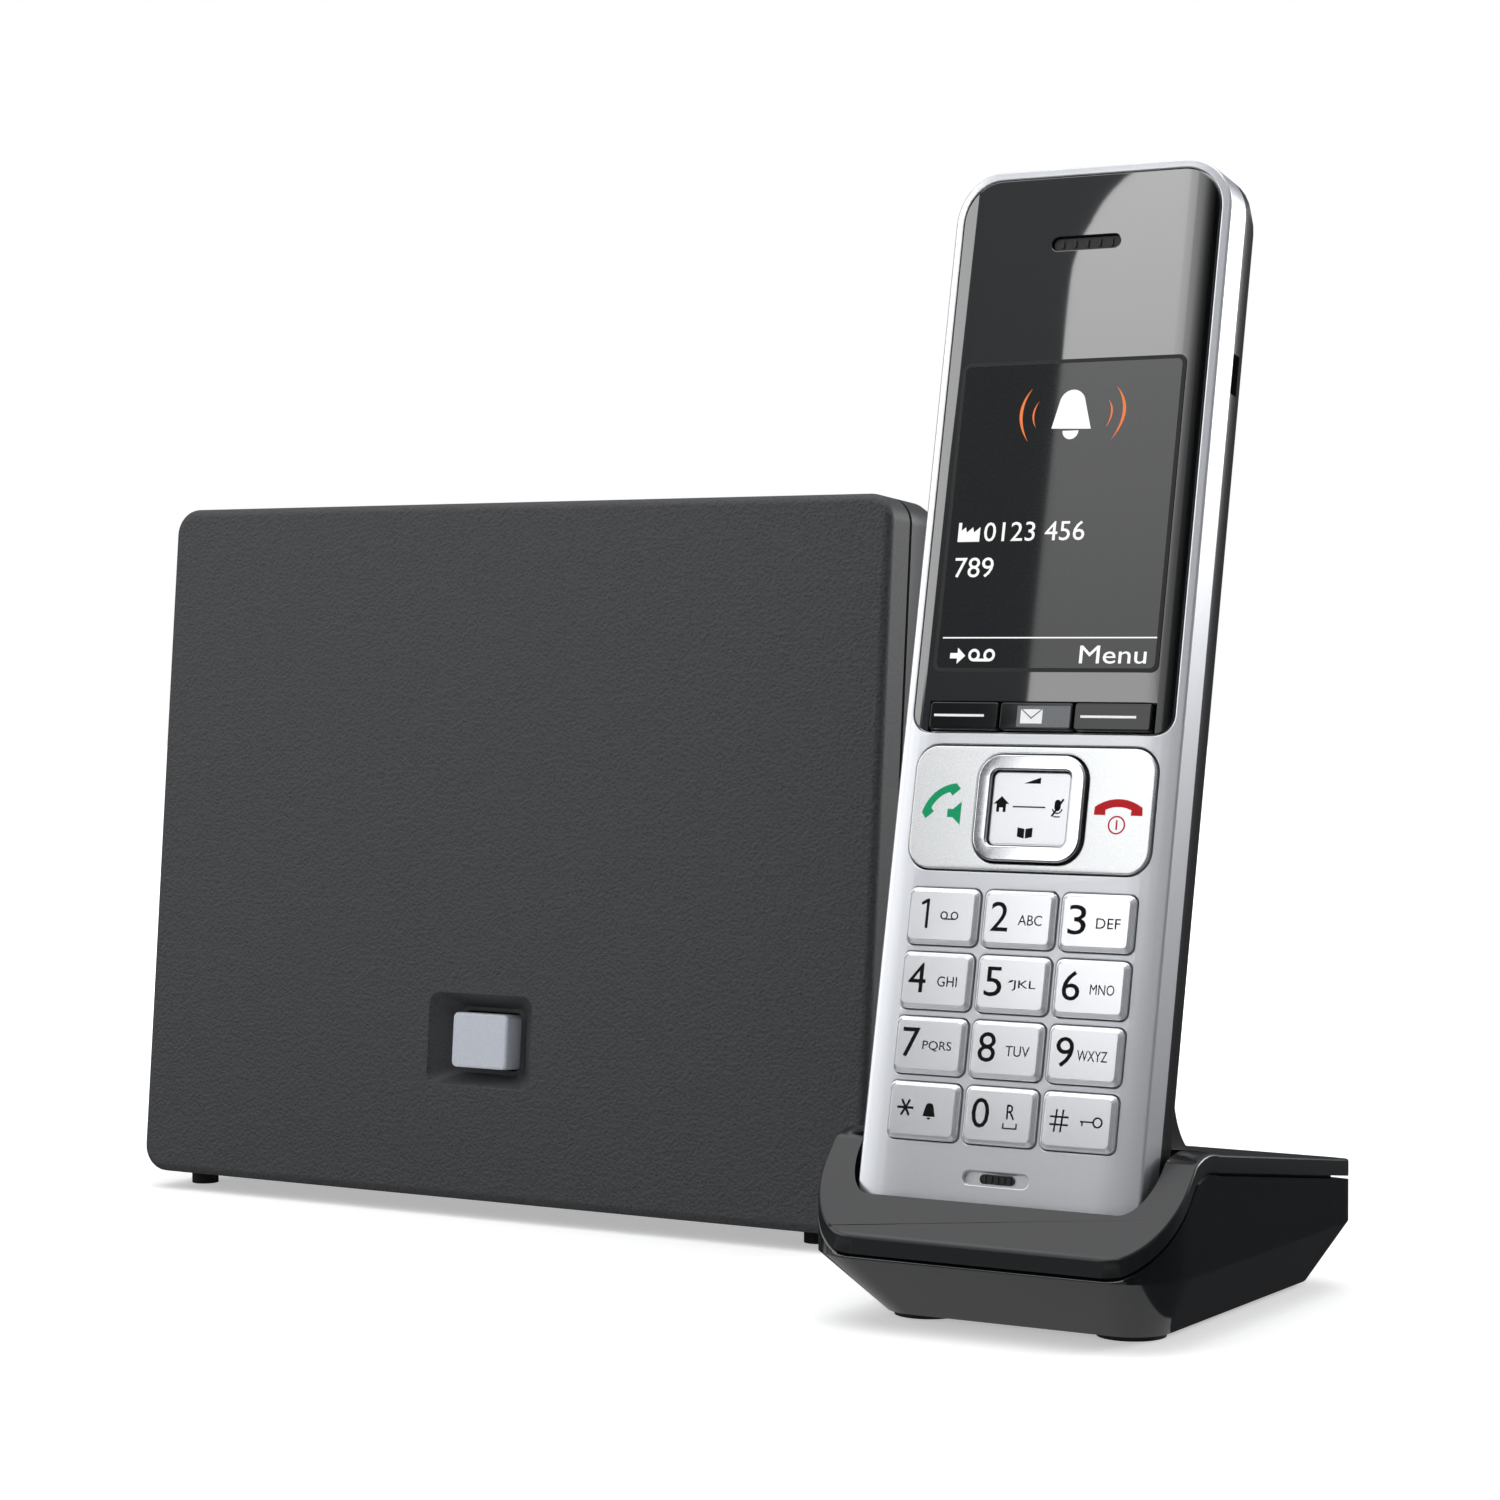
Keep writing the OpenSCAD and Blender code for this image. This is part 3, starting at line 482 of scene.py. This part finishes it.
def on_outline(p, half=22.5, top=156.0, head=7.5, foot=4.5):
    """Whether a point lies on the handset's upright outer walls."""
    if abs(p.x) > half - head and p.z > top - head:
        return math.hypot(abs(p.x) - half + head, p.z - top + head) > head - ON_WALL
    if abs(p.x) > half - foot and p.z < foot:
        return math.hypot(abs(p.x) - half + foot, p.z - foot) > foot - ON_WALL
    return abs(p.x) > half - ON_WALL or p.z < ON_WALL or p.z > top - ON_WALL


CROWN_START, CROWN_END, CROWN_FALL = 14.5, 20.95, 0.45


def crown(form, cuts):
    """Lets the front fall away towards both long sides."""
    for x in cuts:
        for side in (-1, 1):
            bmesh.ops.bisect_plane(form, geom=form.verts[:] + form.edges[:] + form.faces[:], dist=1e-4,
                                   plane_co=(side * x, 0, 0), plane_no=(1, 0, 0))
    for v in form.verts:
        if v.co.y < 0.4 and abs(v.co.x) > CROWN_START:
            v.co.y += CROWN_FALL * ((abs(v.co.x) - CROWN_START) / (CROWN_END - CROWN_START)) ** 2


bezel = clean_copy("handset_front_shell", HANDSET)
round_over(bezel, sharp_edges(bezel, lambda p: p.y < 0.01 and on_outline(p)), 0.35, 3)
round_over(bezel, sharp_edges(bezel, lambda p: abs(p.y) < 0.01 and not on_outline(p)), 0.18, 2)
crown(bezel, (14.5, 16.5, 18.2, 19.6, 20.7, 21.6))
drawn("handset_silver_front", bezel, HANDSET, "handset", silver_paint, ["handset_front_shell"],
      crease=24)

satin_rear = moulded("satin black rear ABS", "#1b1c1e", "#151618", 0.33, 0.3, 0.003)
back_shell = clean_copy("handset_rear_shell", HANDSET)
drawn("handset_black_rear", back_shell, HANDSET, "handset", satin_rear, ["handset_rear_shell"],
      crease=25)
door = clean_copy("battery_cover", HANDSET)
round_over(door, sharp_edges(door, lambda p: p.y > 20.99), 0.3, 2)
drawn("battery_door", door, HANDSET, "battery_cover", satin_rear, ["battery_cover"])

# ---- The handset's insides ----
# The board, display, ringer, motor and cells lie between the shells and show only when the door is off.
finish_nodes(solder_mask, "handset_board")
finish_nodes(tinned, "battery_contacts", "microphone", "vibration_motor")
finish_nodes(black_pa, "loudspeaker", "headset_socket", "earpiece", "nav_carrier")
sleeve = moulded("green battery sleeve", "#2f7d50", "#256a42", 0.35, 2.0, 0.004)
finish_nodes(sleeve, "battery_cells")
silicone = moulded("grey silicone", "#9fa3a8", "#8e9297", 0.6, 0.8, 0.01)
finish_nodes(silicone, "keypad_mat")

# ---- The glass ----
# A black-backed acrylic lens, its front crowned towards both sides, with a slot for the earpiece and a notch
# for the soft keys. It is glued into the silver front's recess, a hair below the face.
lens_black, tree, shader = new_material("black-backed acrylic lens")
place = add_node(tree, "ShaderNodeTexCoord")
haze = add_node(tree, "ShaderNodeTexNoise", {"Scale": 60, "Detail": 2}, {"Vector": place.outputs["Object"]})
gloss = add_node(tree, "ShaderNodeMapRange", {"To Min": 0.01, "To Max": 0.03}, {"Value": haze.outputs["Fac"]})
tree.links.new(gloss.outputs["Result"], shader.inputs["Roughness"])
shader.inputs["Base Color"].default_value = colour("#0d0f10")
shader.inputs["IOR"].default_value = 2.2

glass = clean_copy("display_lens", HANDSET)
round_over(glass, sharp_edges(glass, lambda p: abs(p.y) < 0.01), 0.12, 2)
crown(glass, (14.5, 15.9, 17.2, 18.3, 19.3, 20.2))
drawn("display_glass", glass, HANDSET, "handset", lens_black, ["display_lens"], crease=20)

finish_nodes(black_pa, "display_module")

# ---- The screen ----
# A colour display behind a darker window printed on the glass. It shows a white bell with orange rings of
# sound, a caller's number and the labels of the two outer soft keys, all drawn in thin raised ink here.


def slab_of(form, points, depth, thick=0.04):
    """A thin closed slab on the face from points in order round its outline."""
    before = set(form.faces)
    form.faces.new([form.verts.new((x, depth, z)) for x, z in points])
    push(form, [f for f in form.faces if f not in before], thick)


def bar(form, low_x, low_z, high_x, high_z, depth):
    """A thin upright rectangle between two corners."""
    slab_of(form, ((low_x, low_z), (high_x, low_z), (high_x, high_z), (low_x, high_z)), depth)


def hoop(form, x, z, radius, line, depth, steps=16):
    """A thin ring, line wide inwards from its radius."""
    outer, inner = arc(x, z, radius, 0, 360, steps), arc(x, z, radius - line, 0, 360, steps)
    for i in range(steps):
        j = (i + 1) % steps
        slab_of(form, (outer[i], outer[j], inner[j], inner[i]), depth)


def bow(form, ends, middle, thick, depth):
    """A crescent through two ends and the middle of its outer side, thickest at its middle."""
    (x0, z0), (x1, z1) = ends
    outer, inner = [], []
    for i in range(13):
        t = i / 12
        bulge = 4 * t * (1 - t)
        px, pz = x0 + (x1 - x0) * t, z0 + (z1 - z0) * t
        dx, dz = middle[0] - (x0 + x1) / 2, middle[1] - (z0 + z1) / 2
        outer.append((px + dx * bulge, pz + dz * bulge))
        scale = 1 - thick / math.hypot(dx, dz)
        inner.append((px + dx * bulge * scale, pz + dz * bulge * scale))
    slab_of(form, outer + inner[1:-1][::-1], depth)


def lettering(form, text, height, centre, depth, width=None):
    """Raised type fitted to a cap height and, if given, a width, with its middle at centre."""
    curve = bpy.data.curves.new("type", "FONT")
    curve.body, curve.size, curve.extrude, curve.resolution_u = text, 1, 0.01, 3
    holder = bpy.data.objects.new("type", curve)
    mesh = bpy.data.meshes.new_from_object(holder)
    bpy.data.objects.remove(holder)
    bpy.data.curves.remove(curve)
    low = [min(v.co[i] for v in mesh.vertices) for i in (0, 1)]
    high = [max(v.co[i] for v in mesh.vertices) for i in (0, 1)]
    up = height / (high[1] - low[1])
    out = width / (high[0] - low[0]) if width else up
    for v in mesh.vertices:
        v.co = (centre[0] + (v.co.x - (low[0] + high[0]) / 2) * out, depth + 0.02 - v.co.z * 2,
                centre[1] + (v.co.y - (low[1] + high[1]) / 2) * up)
    form.from_mesh(mesh)
    bpy.data.meshes.remove(mesh)


window_film, tree, shader = new_material("display window film")
place = add_node(tree, "ShaderNodeTexCoord")
cells = add_node(tree, "ShaderNodeTexNoise", {"Scale": 5000, "Detail": 1}, {"Vector": place.outputs["Object"]})
tone = add_node(tree, "ShaderNodeValToRGB", links={"Fac": cells.outputs["Fac"]})
tone.color_ramp.elements[0].color, tone.color_ramp.elements[1].color = colour("#1c1e1f"), colour("#212324")
gloss = add_node(tree, "ShaderNodeMapRange", {"To Min": 0.02, "To Max": 0.04}, {"Value": cells.outputs["Fac"]})
tree.links.new(tone.outputs["Color"], shader.inputs["Base Color"])
tree.links.new(gloss.outputs["Result"], shader.inputs["Roughness"])
shader.inputs["IOR"].default_value = 1.5


def backlit(name, code, strength):
    """A lit part of the display: its own light, a little uneven across the panel."""
    material, tree, shader = new_material(name)
    place = add_node(tree, "ShaderNodeTexCoord")
    drift = add_node(tree, "ShaderNodeTexNoise", {"Scale": 120}, {"Vector": place.outputs["Object"]})
    light = add_node(tree, "ShaderNodeMapRange", {"To Min": strength * 0.94, "To Max": strength * 1.06},
                     {"Value": drift.outputs["Fac"]})
    shader.inputs["Base Color"].default_value = colour("#101112")
    shader.inputs["Emission Color"].default_value = colour(code)
    tree.links.new(light.outputs["Result"], shader.inputs["Emission Strength"])
    shader.inputs["Roughness"].default_value = 0.4
    return material


white_pixels = backlit("lit white pixels", "#ffffff", 1.0)
orange_pixels = backlit("lit orange pixels", "#f07a30", 1.0)
frame_ink = moulded("black frame ink", "#0b0c0d", "#070808", 0.5, 0.3, 0.001)

window = bmesh.new()
push(window, [plate(window, 35.2, 45.8, 0.8, 0.8, depth=-0.03, at=(-0.2, 80))], 0.05)
drawn("display_window", window, HANDSET, "handset", window_film)
surround = bmesh.new()
push(surround, [plate(surround, 36.4, 47, 1.2, 1.2, depth=-0.015, at=(-0.2, 79.4))], 0.03)
drawn("display_frame", surround, HANDSET, "handset", frame_ink)

SCREEN_INK = -0.05
white_marks = bmesh.new()
slab_of(white_marks, [(3.7, 115.7)] + arc(0.35, 119.6, 2.1, 10, 170, 14) + [(-2.7, 115.9)], SCREEN_INK)
slab_of(white_marks, arc(0.45, 115.5, 1.3, 180, 360, 10), SCREEN_INK)
slab_of(white_marks, ((-16.4, 99), (-12.8, 99), (-12.8, 101.2), (-13.8, 100.4), (-14.0, 101.2),
                      (-15.0, 100.4), (-15.2, 101.2), (-15.9, 100.7), (-15.9, 101.9), (-16.4, 101.9)), SCREEN_INK)
lettering(white_marks, "0123 456", 2.9, (-3.9, 100.45), SCREEN_INK, 16.4)
lettering(white_marks, "789", 3.0, (-13.2, 95.1), SCREEN_INK, 6.4)
bar(white_marks, -17.2, 84.4, 17.4, 84.6, SCREEN_INK)
lettering(white_marks, "Menu", 2.65, (10.7, 82.0), SCREEN_INK, 10.6)
slab_of(white_marks, ((-15.7, 81.4), (-14.5, 81.4), (-14.5, 80.6), (-13.2, 81.8), (-14.5, 83),
                      (-14.5, 82.2), (-15.7, 82.2)), SCREEN_INK)


def tape_reels(form, x, z, r, gap, depth, line=0.28):
    """Two rings joined by a bar along their feet."""
    for side in (-1, 1):
        hoop(form, x + side * gap, z, r, line, depth)
    bar(form, x - gap, z - r, x + gap, z - r + line, depth)


tape_reels(white_marks, -10.5, 81.9, 0.95, 1.25, SCREEN_INK, 0.42)
drawn("display_white_marks", white_marks, HANDSET, "handset", white_pixels)
orange_marks = bmesh.new()
for ends, middle, thick in ((((-6.4, 122.1), (-6.4, 114.0)), (-8.15, 118.2), 0.5),
                            (((-5.1, 120.1), (-5.3, 116.1)), (-6.0, 118.1), 0.28),
                            (((6.2, 120.0), (6.1, 115.8)), (7.0, 118.1), 0.28),
                            (((7.3, 122.0), (7.1, 113.9)), (9.1, 118.2), 0.5)):
    bow(orange_marks, ends, middle, thick, SCREEN_INK)
drawn("display_orange_marks", orange_marks, HANDSET, "handset", orange_pixels)

# ---- The earpiece's slot ----
# Black acoustic cloth lies behind the slot in the glass, in a moulded black liner with a ribbed face.
liner = bmesh.new()
push(liner, [plate(liner, 10.9, 1.86, 0.92, 0.92, depth=0.55, at=(0, 143.27))], 0.4)
for x in (-4, -2, 0, 2, 4):
    push(liner, [plate(liner, 0.5, 1.2, 0.2, 0.2, depth=0.35, at=(x, 143.6), steps=3)], 0.3)
drawn("earpiece_liner", liner, HANDSET, "handset", black_pa)

# ---- The soft keys ----
# Three keys of gloss black ABS in the notch at the glass's foot, with white printed marks: a line on each
# outer one and an envelope on the middle one, which has a grey panel round it.
gloss_black, tree, shader = new_material("gloss black ABS")
place = add_node(tree, "ShaderNodeTexCoord")
haze = add_node(tree, "ShaderNodeTexNoise", {"Scale": 400, "Detail": 2}, {"Vector": place.outputs["Object"]})
gloss = add_node(tree, "ShaderNodeMapRange", {"To Min": 0.05, "To Max": 0.1}, {"Value": haze.outputs["Fac"]})
tree.links.new(gloss.outputs["Result"], shader.inputs["Roughness"])
shader.inputs["Base Color"].default_value = colour("#0d0f10")
shader.inputs["IOR"].default_value = 1.5
white_ink = moulded("white pad-printed ink", "#f4f4f4", "#ececec", 0.5, 0.3, 0.001)
black_ink = moulded("black pad-printed ink", "#08090a", "#050606", 0.6, 0.3, 0.001, ior=1.25)
grey_ink = moulded("grey pad-printed ink", "#6d7072", "#64676a", 0.4, 0.3, 0.001)
SOFT_EDGES, SOFT_GAP, SOFT_Z = (-18, -6.5, 5.5, 18), 0.3, 72.8
for i, name in enumerate(("soft_key_left", "message_key", "soft_key_right")):
    mid, width = (SOFT_EDGES[i] + SOFT_EDGES[i + 1]) / 2, SOFT_EDGES[i + 1] - SOFT_EDGES[i] - SOFT_GAP
    key = bmesh.new()
    loft(key, rim(mid, SOFT_Z, width, 4, 0.5, -0.5, 0.25)[::-1] + [(mid, SOFT_Z, width, 4, 0.5, 2.2)], steps=4)
    drawn(name + "_cap", key, HANDSET, name, gloss_black, [name])
    mark = bmesh.new()
    if i == 1:
        bar(mark, -2.9, 71.7, 0.6, 73.8, -0.54)
    else:
        low, high = ((-17.1, -8.9), None, (6.7, 15.5))[i]
        bar(mark, low, 72.62, high, 72.98, -0.53)
    drawn(name + "_mark", mark, HANDSET, name, white_ink)
fold = bmesh.new()
slab_of(fold, ((-2.9, 73.8), (-1.15, 72.35), (0.6, 73.8), (0.35, 73.8), (-1.15, 72.6), (-2.65, 73.8)), -0.56)
drawn("message_key_fold", fold, HANDSET, "message_key", grey_ink)
panel_print = bmesh.new()
bar(panel_print, -3.5, 71.2, 5.0, 74.3, -0.52)
drawn("message_key_panel", panel_print, HANDSET, "message_key", grey_ink)

# ---- The call plate ----
# One plated plate with a round-cornered mouth rocks about the navigation key: talk on the left in green ink,
# end call on the right in red ink.
silver_plate = moulded("satin plated plate", "#f0f2f3", "#e9ebed", 0.28, 0.12, 0.0005, metallic=0.8)
CALL_Z, PLATE_INK = 59.2, -0.34
talk_end = bmesh.new()
loft(talk_end, [(0, CALL_Z, 38.6, 18.2, 3.5, 1.9)] + rim(0, CALL_Z, 38.6, 18.2, 3.5, -0.3, 0.25)
     + rim(0, CALL_Z, 18.0, 16.2, 3.9, -0.3, 0.2, hole=True) + [(0, CALL_Z, 18.0, 16.2, 3.9, 1.9)], closed=True)
drawn("talk_end_plate", talk_end, HANDSET, "talk_end_rocker", silver_plate, ["talk_end_rocker"])
green_ink = moulded("green pad-printed ink", "#0f9a66", "#0d9060", 0.45, 0.3, 0.001, ior=1.25)
red_ink = moulded("red pad-printed ink", "#b81c22", "#ac181e", 0.45, 0.3, 0.001, ior=1.25)


def receiver(form, x, z, turn, scale):
    """A telephone receiver lying with its back up: a bowed grip between two square ends."""
    outline = (arc(0, -4.75, 6.5, 55, 125) + [(-3.8, -0.6), (-2, -0.6)] + arc(0, -4.4, 5, 114, 66)
               + [(2, -0.6), (3.8, -0.6)])
    dx, dz = scale * math.cos(math.radians(turn)), scale * math.sin(math.radians(turn))
    slab_of(form, [(x + u * dx - v * dz, z + u * dz + v * dx) for u, v in outline], PLATE_INK)


talk_marks = bmesh.new()
receiver(talk_marks, -14.6, 60.1, 40, 0.92)
slab_of(talk_marks, [(x, CALL_Z + z) for x, z in ((-13.4, -0.3), (-12.5, -0.3), (-11.2, 0.8), (-11.2, -2.6),
                                                  (-12.5, -1.5), (-13.4, -1.5))], PLATE_INK)
drawn("talk_marks", talk_marks, HANDSET, "talk_end_rocker", green_ink)
end_marks = bmesh.new()
receiver(end_marks, 14, CALL_Z, 0, 1)
hoop(end_marks, 13.9, 57.2, 1.35, 0.22, PLATE_INK, steps=24)
bar(end_marks, 13.78, 56.5, 14.02, 57.9, PLATE_INK)
drawn("end_marks", end_marks, HANDSET, "talk_end_rocker", red_ink)

# ---- The navigation key ----
# A chrome ring tilts four ways round a pearl grey pad that sits lower and is pressed by itself. The pad's black
# marks are a volume wedge, a house, a dash, a crossed microphone and an open book.
chrome = moulded("polished chrome", "#e8e9ec", "#e0e1e5", 0.1, 0.5, 0.0005, metallic=1.0, spread=0.02)
nav = bmesh.new()
loft(nav, [(0, CALL_Z, 17.2, 15.6, 3.6, 1.9)] + rim(0, CALL_Z, 17.2, 15.6, 3.6, -1, 0.28, steps=4)
     + rim(0, CALL_Z, 12.9, 11.1, 1.1, -1, 0.3, hole=True, steps=4) + [(0, CALL_Z, 12.9, 11.1, 1.1, 1.9)], closed=True)
drawn("nav_ring", nav, HANDSET, "nav_frame", chrome, ["nav_frame"])
pearl = moulded("pearl grey painted ABS", "#f6f7fb", "#f1f2f6", 0.3, 0.2, 0.0005, metallic=0.7)
pad = bmesh.new()
loft(pad, rim(0, CALL_Z, 12.6, 10.8, 1, -0.4, 0.3, steps=4)[::-1] + [(0, CALL_Z, 12.6, 10.8, 1, 1.3)])
drawn("nav_pad", pad, HANDSET, "nav_centre", pearl, ["nav_centre"])
pad_marks = bmesh.new()


def at_pad(points):
    slab_of(pad_marks, [(x, CALL_Z + z) for x, z in points], -0.44)


at_pad(((-1.27, 3.7), (1.36, 3.7), (1.36, 4.6)))
at_pad(((-5.9, 0.65), (-3.4, 0.65), (-4.65, 1.75)))
for low_x, high_x, low_z in ((-5.4, -4.95, -0.55), (-4.35, -3.9, -0.55), (-4.95, -4.35, 0.1)):
    at_pad(((low_x, low_z), (high_x, low_z), (high_x, 0.7), (low_x, 0.7)))
at_pad(((-2.76, 0.16), (2.44, 0.16), (2.44, 0.36), (-2.76, 0.36)))
at_pad(arc(4.4, 0.95, 0.48, 0, 180, 8) + arc(4.4, 0.25, 0.48, 180, 360, 8))
at_pad(((3.45, -0.95), (3.7, -1.1), (5.4, 1.45), (5.15, 1.6)))
at_pad(arc(4.4, 0.2, 0.85, 190, 350, 8) + arc(4.4, 0.2, 0.68, 350, 190, 8))
at_pad(((3.9, -1.15), (4.9, -1.15), (4.9, -0.98), (3.9, -0.98)))
at_pad(((-1.65, -2.75), (-0.55, -2.95), (-0.55, -4.35), (-1.65, -4.1)))
at_pad(((-0.35, -2.95), (0.75, -2.75), (0.75, -4.1), (-0.35, -4.35)))
drawn("nav_marks", pad_marks, HANDSET, "nav_centre", black_ink)

# ---- The number keys ----
# Twelve caps painted light silver, each with a flat top, steep walls and a narrow flange that fills its hole.
# The digits, the letters of the usual telephone layout and four small signs are printed in black.
key_paint = moulded("light silver key paint", "#f6f7fa", "#f0f1f5", 0.24, 0.12, 0.0008, metallic=0.75)
LEGENDS = (("key_1", "1", ""), ("key_2", "2", "ABC"), ("key_3", "3", "DEF"), ("key_4", "4", "GHI"),
           ("key_5", "5", "JKL"), ("key_6", "6", "MNO"), ("key_7", "7", "PQRS"), ("key_8", "8", "TUV"),
           ("key_9", "9", "WXYZ"), ("key_star", "", ""), ("key_0", "0", "R"), ("key_hash", "", ""))
KEY_STEP_X, KEY_STEP_Z, TOP_ROW, KEY_INK = 12.36, 9.43, 47.2 - 4.15, -0.92
for i, (name, digit, letters) in enumerate(LEGENDS):
    x, z = (i % 3 - 1) * KEY_STEP_X, TOP_ROW - i // 3 * KEY_STEP_Z
    cap = bmesh.new()
    loft(cap, [(x, z, 11.5, 8.3, 1.1, 2.2), (x, z, 11.5, 8.3, 1.1, -0.3), (x, z, 11.3, 8.1, 1.0, -0.42),
               (x, z, 11.1, 7.9, 0.9, -0.45)] + rim(x, z, 10.35, 7.15, 0.75, -0.9, 0.12), steps=5)
    drawn(name + "_cap", cap, HANDSET, name, key_paint, [name])
    legend = bmesh.new()
    if digit == "1":
        slab_of(legend, ((x - 2.55, z - 1.85), (x - 2.1, z - 1.85), (x - 2.1, z + 2.45), (x - 2.5, z + 2.45),
                         (x - 3.4, z + 1.9), (x - 3.3, z + 1.5), (x - 2.55, z + 1.85)), KEY_INK)
        tape_reels(legend, x + 1.3, z + 0.1, 0.62, 0.85, KEY_INK, 0.2)
    elif digit:
        lettering(legend, digit, 4.3, (x - 2.9, z + 0.3), KEY_INK, 2.8)
    if len(letters) > 1:
        lettering(legend, letters, 1.5, (x + (1.4 if len(letters) > 3 else 2.0), z - 0.1), KEY_INK,
                  4.7 if len(letters) > 3 else 3.8 if letters != "GHI" else 3.2)
    if digit == "5":
        slab_of(legend, ((x - 0.6, z + 0.2), (x + 0.2, z + 0.4), (x + 0.3, z + 0.7), (x - 0.2, z + 0.6)), KEY_INK)
    if digit == "0":
        lettering(legend, "R", 2.1, (x + 1.9, z + 0.7), KEY_INK, 1.3)
        for low_x, high_x, high_z in ((0.75, 3.05, -1.55), (0.75, 0.95, -0.9), (2.85, 3.05, -0.9)):
            bar(legend, x + low_x, z - 1.75, x + high_x, z + high_z, KEY_INK)
    if name == "key_star":
        for angle in (0, 60, 120):
            turn = math.radians(angle)
            dx, dz = math.cos(turn), math.sin(turn)
            slab_of(legend, [(x - 2.7 + a * dx * 1.3 - b * dz * 0.17, z + 0.3 + a * dz * 1.3 + b * dx * 0.17)
                             for a, b in ((-1, -1), (1, -1), (1, 1), (-1, 1))], KEY_INK - 0.002 * angle / 60)
        slab_of(legend, [(x + 2.2, z - 0.8)] + arc(x + 1.2, z + 0.5, 0.65, 10, 170, 8) + [(x + 0.2, z - 0.8)], KEY_INK)
        slab_of(legend, arc(x + 1.2, z - 0.95, 0.3, 180, 360, 6), KEY_INK)
    if name == "key_hash":
        for shift in (-0.5, 0.5):
            slab_of(legend, [(x - 2.85 + shift + a, z + b) for a, b in ((-0.25, -1.6), (0.01, -1.6), (0.25, 1.6),
                                                                        (-0.01, 1.6))], KEY_INK)
            middle_z = z + shift * 1.1
            bar(legend, x - 4.25, middle_z - 0.13, x - 1.35, middle_z + 0.13, KEY_INK - 0.002)
        bar(legend, x + 0.5, z, x + 2.5, z + 0.22, KEY_INK)
        bar(legend, x + 0.7, z - 0.5, x + 0.95, z, KEY_INK)
        hoop(legend, x + 3.2, z + 0.1, 0.8, 0.25, KEY_INK)
    drawn(name + "_legend", legend, HANDSET, name, black_ink)

# ---- The microphone's slot ----
# A pill-shaped recess in the silver front with a ribbed black insert in its middle.
insert = bmesh.new()
push(insert, [plate(insert, 5.2, 1.2, 0.59, 0.59, depth=0.45, at=(0.2, 5.2))], 0.8)
for x in (-1.8, -0.8, 0.2, 1.2, 2.2):
    push(insert, [plate(insert, 0.3, 1.0, 0.1, 0.1, depth=0.3, at=(x, 5.3), steps=2)], 0.3)
drawn("microphone_insert", insert, HANDSET, "handset", black_pa)
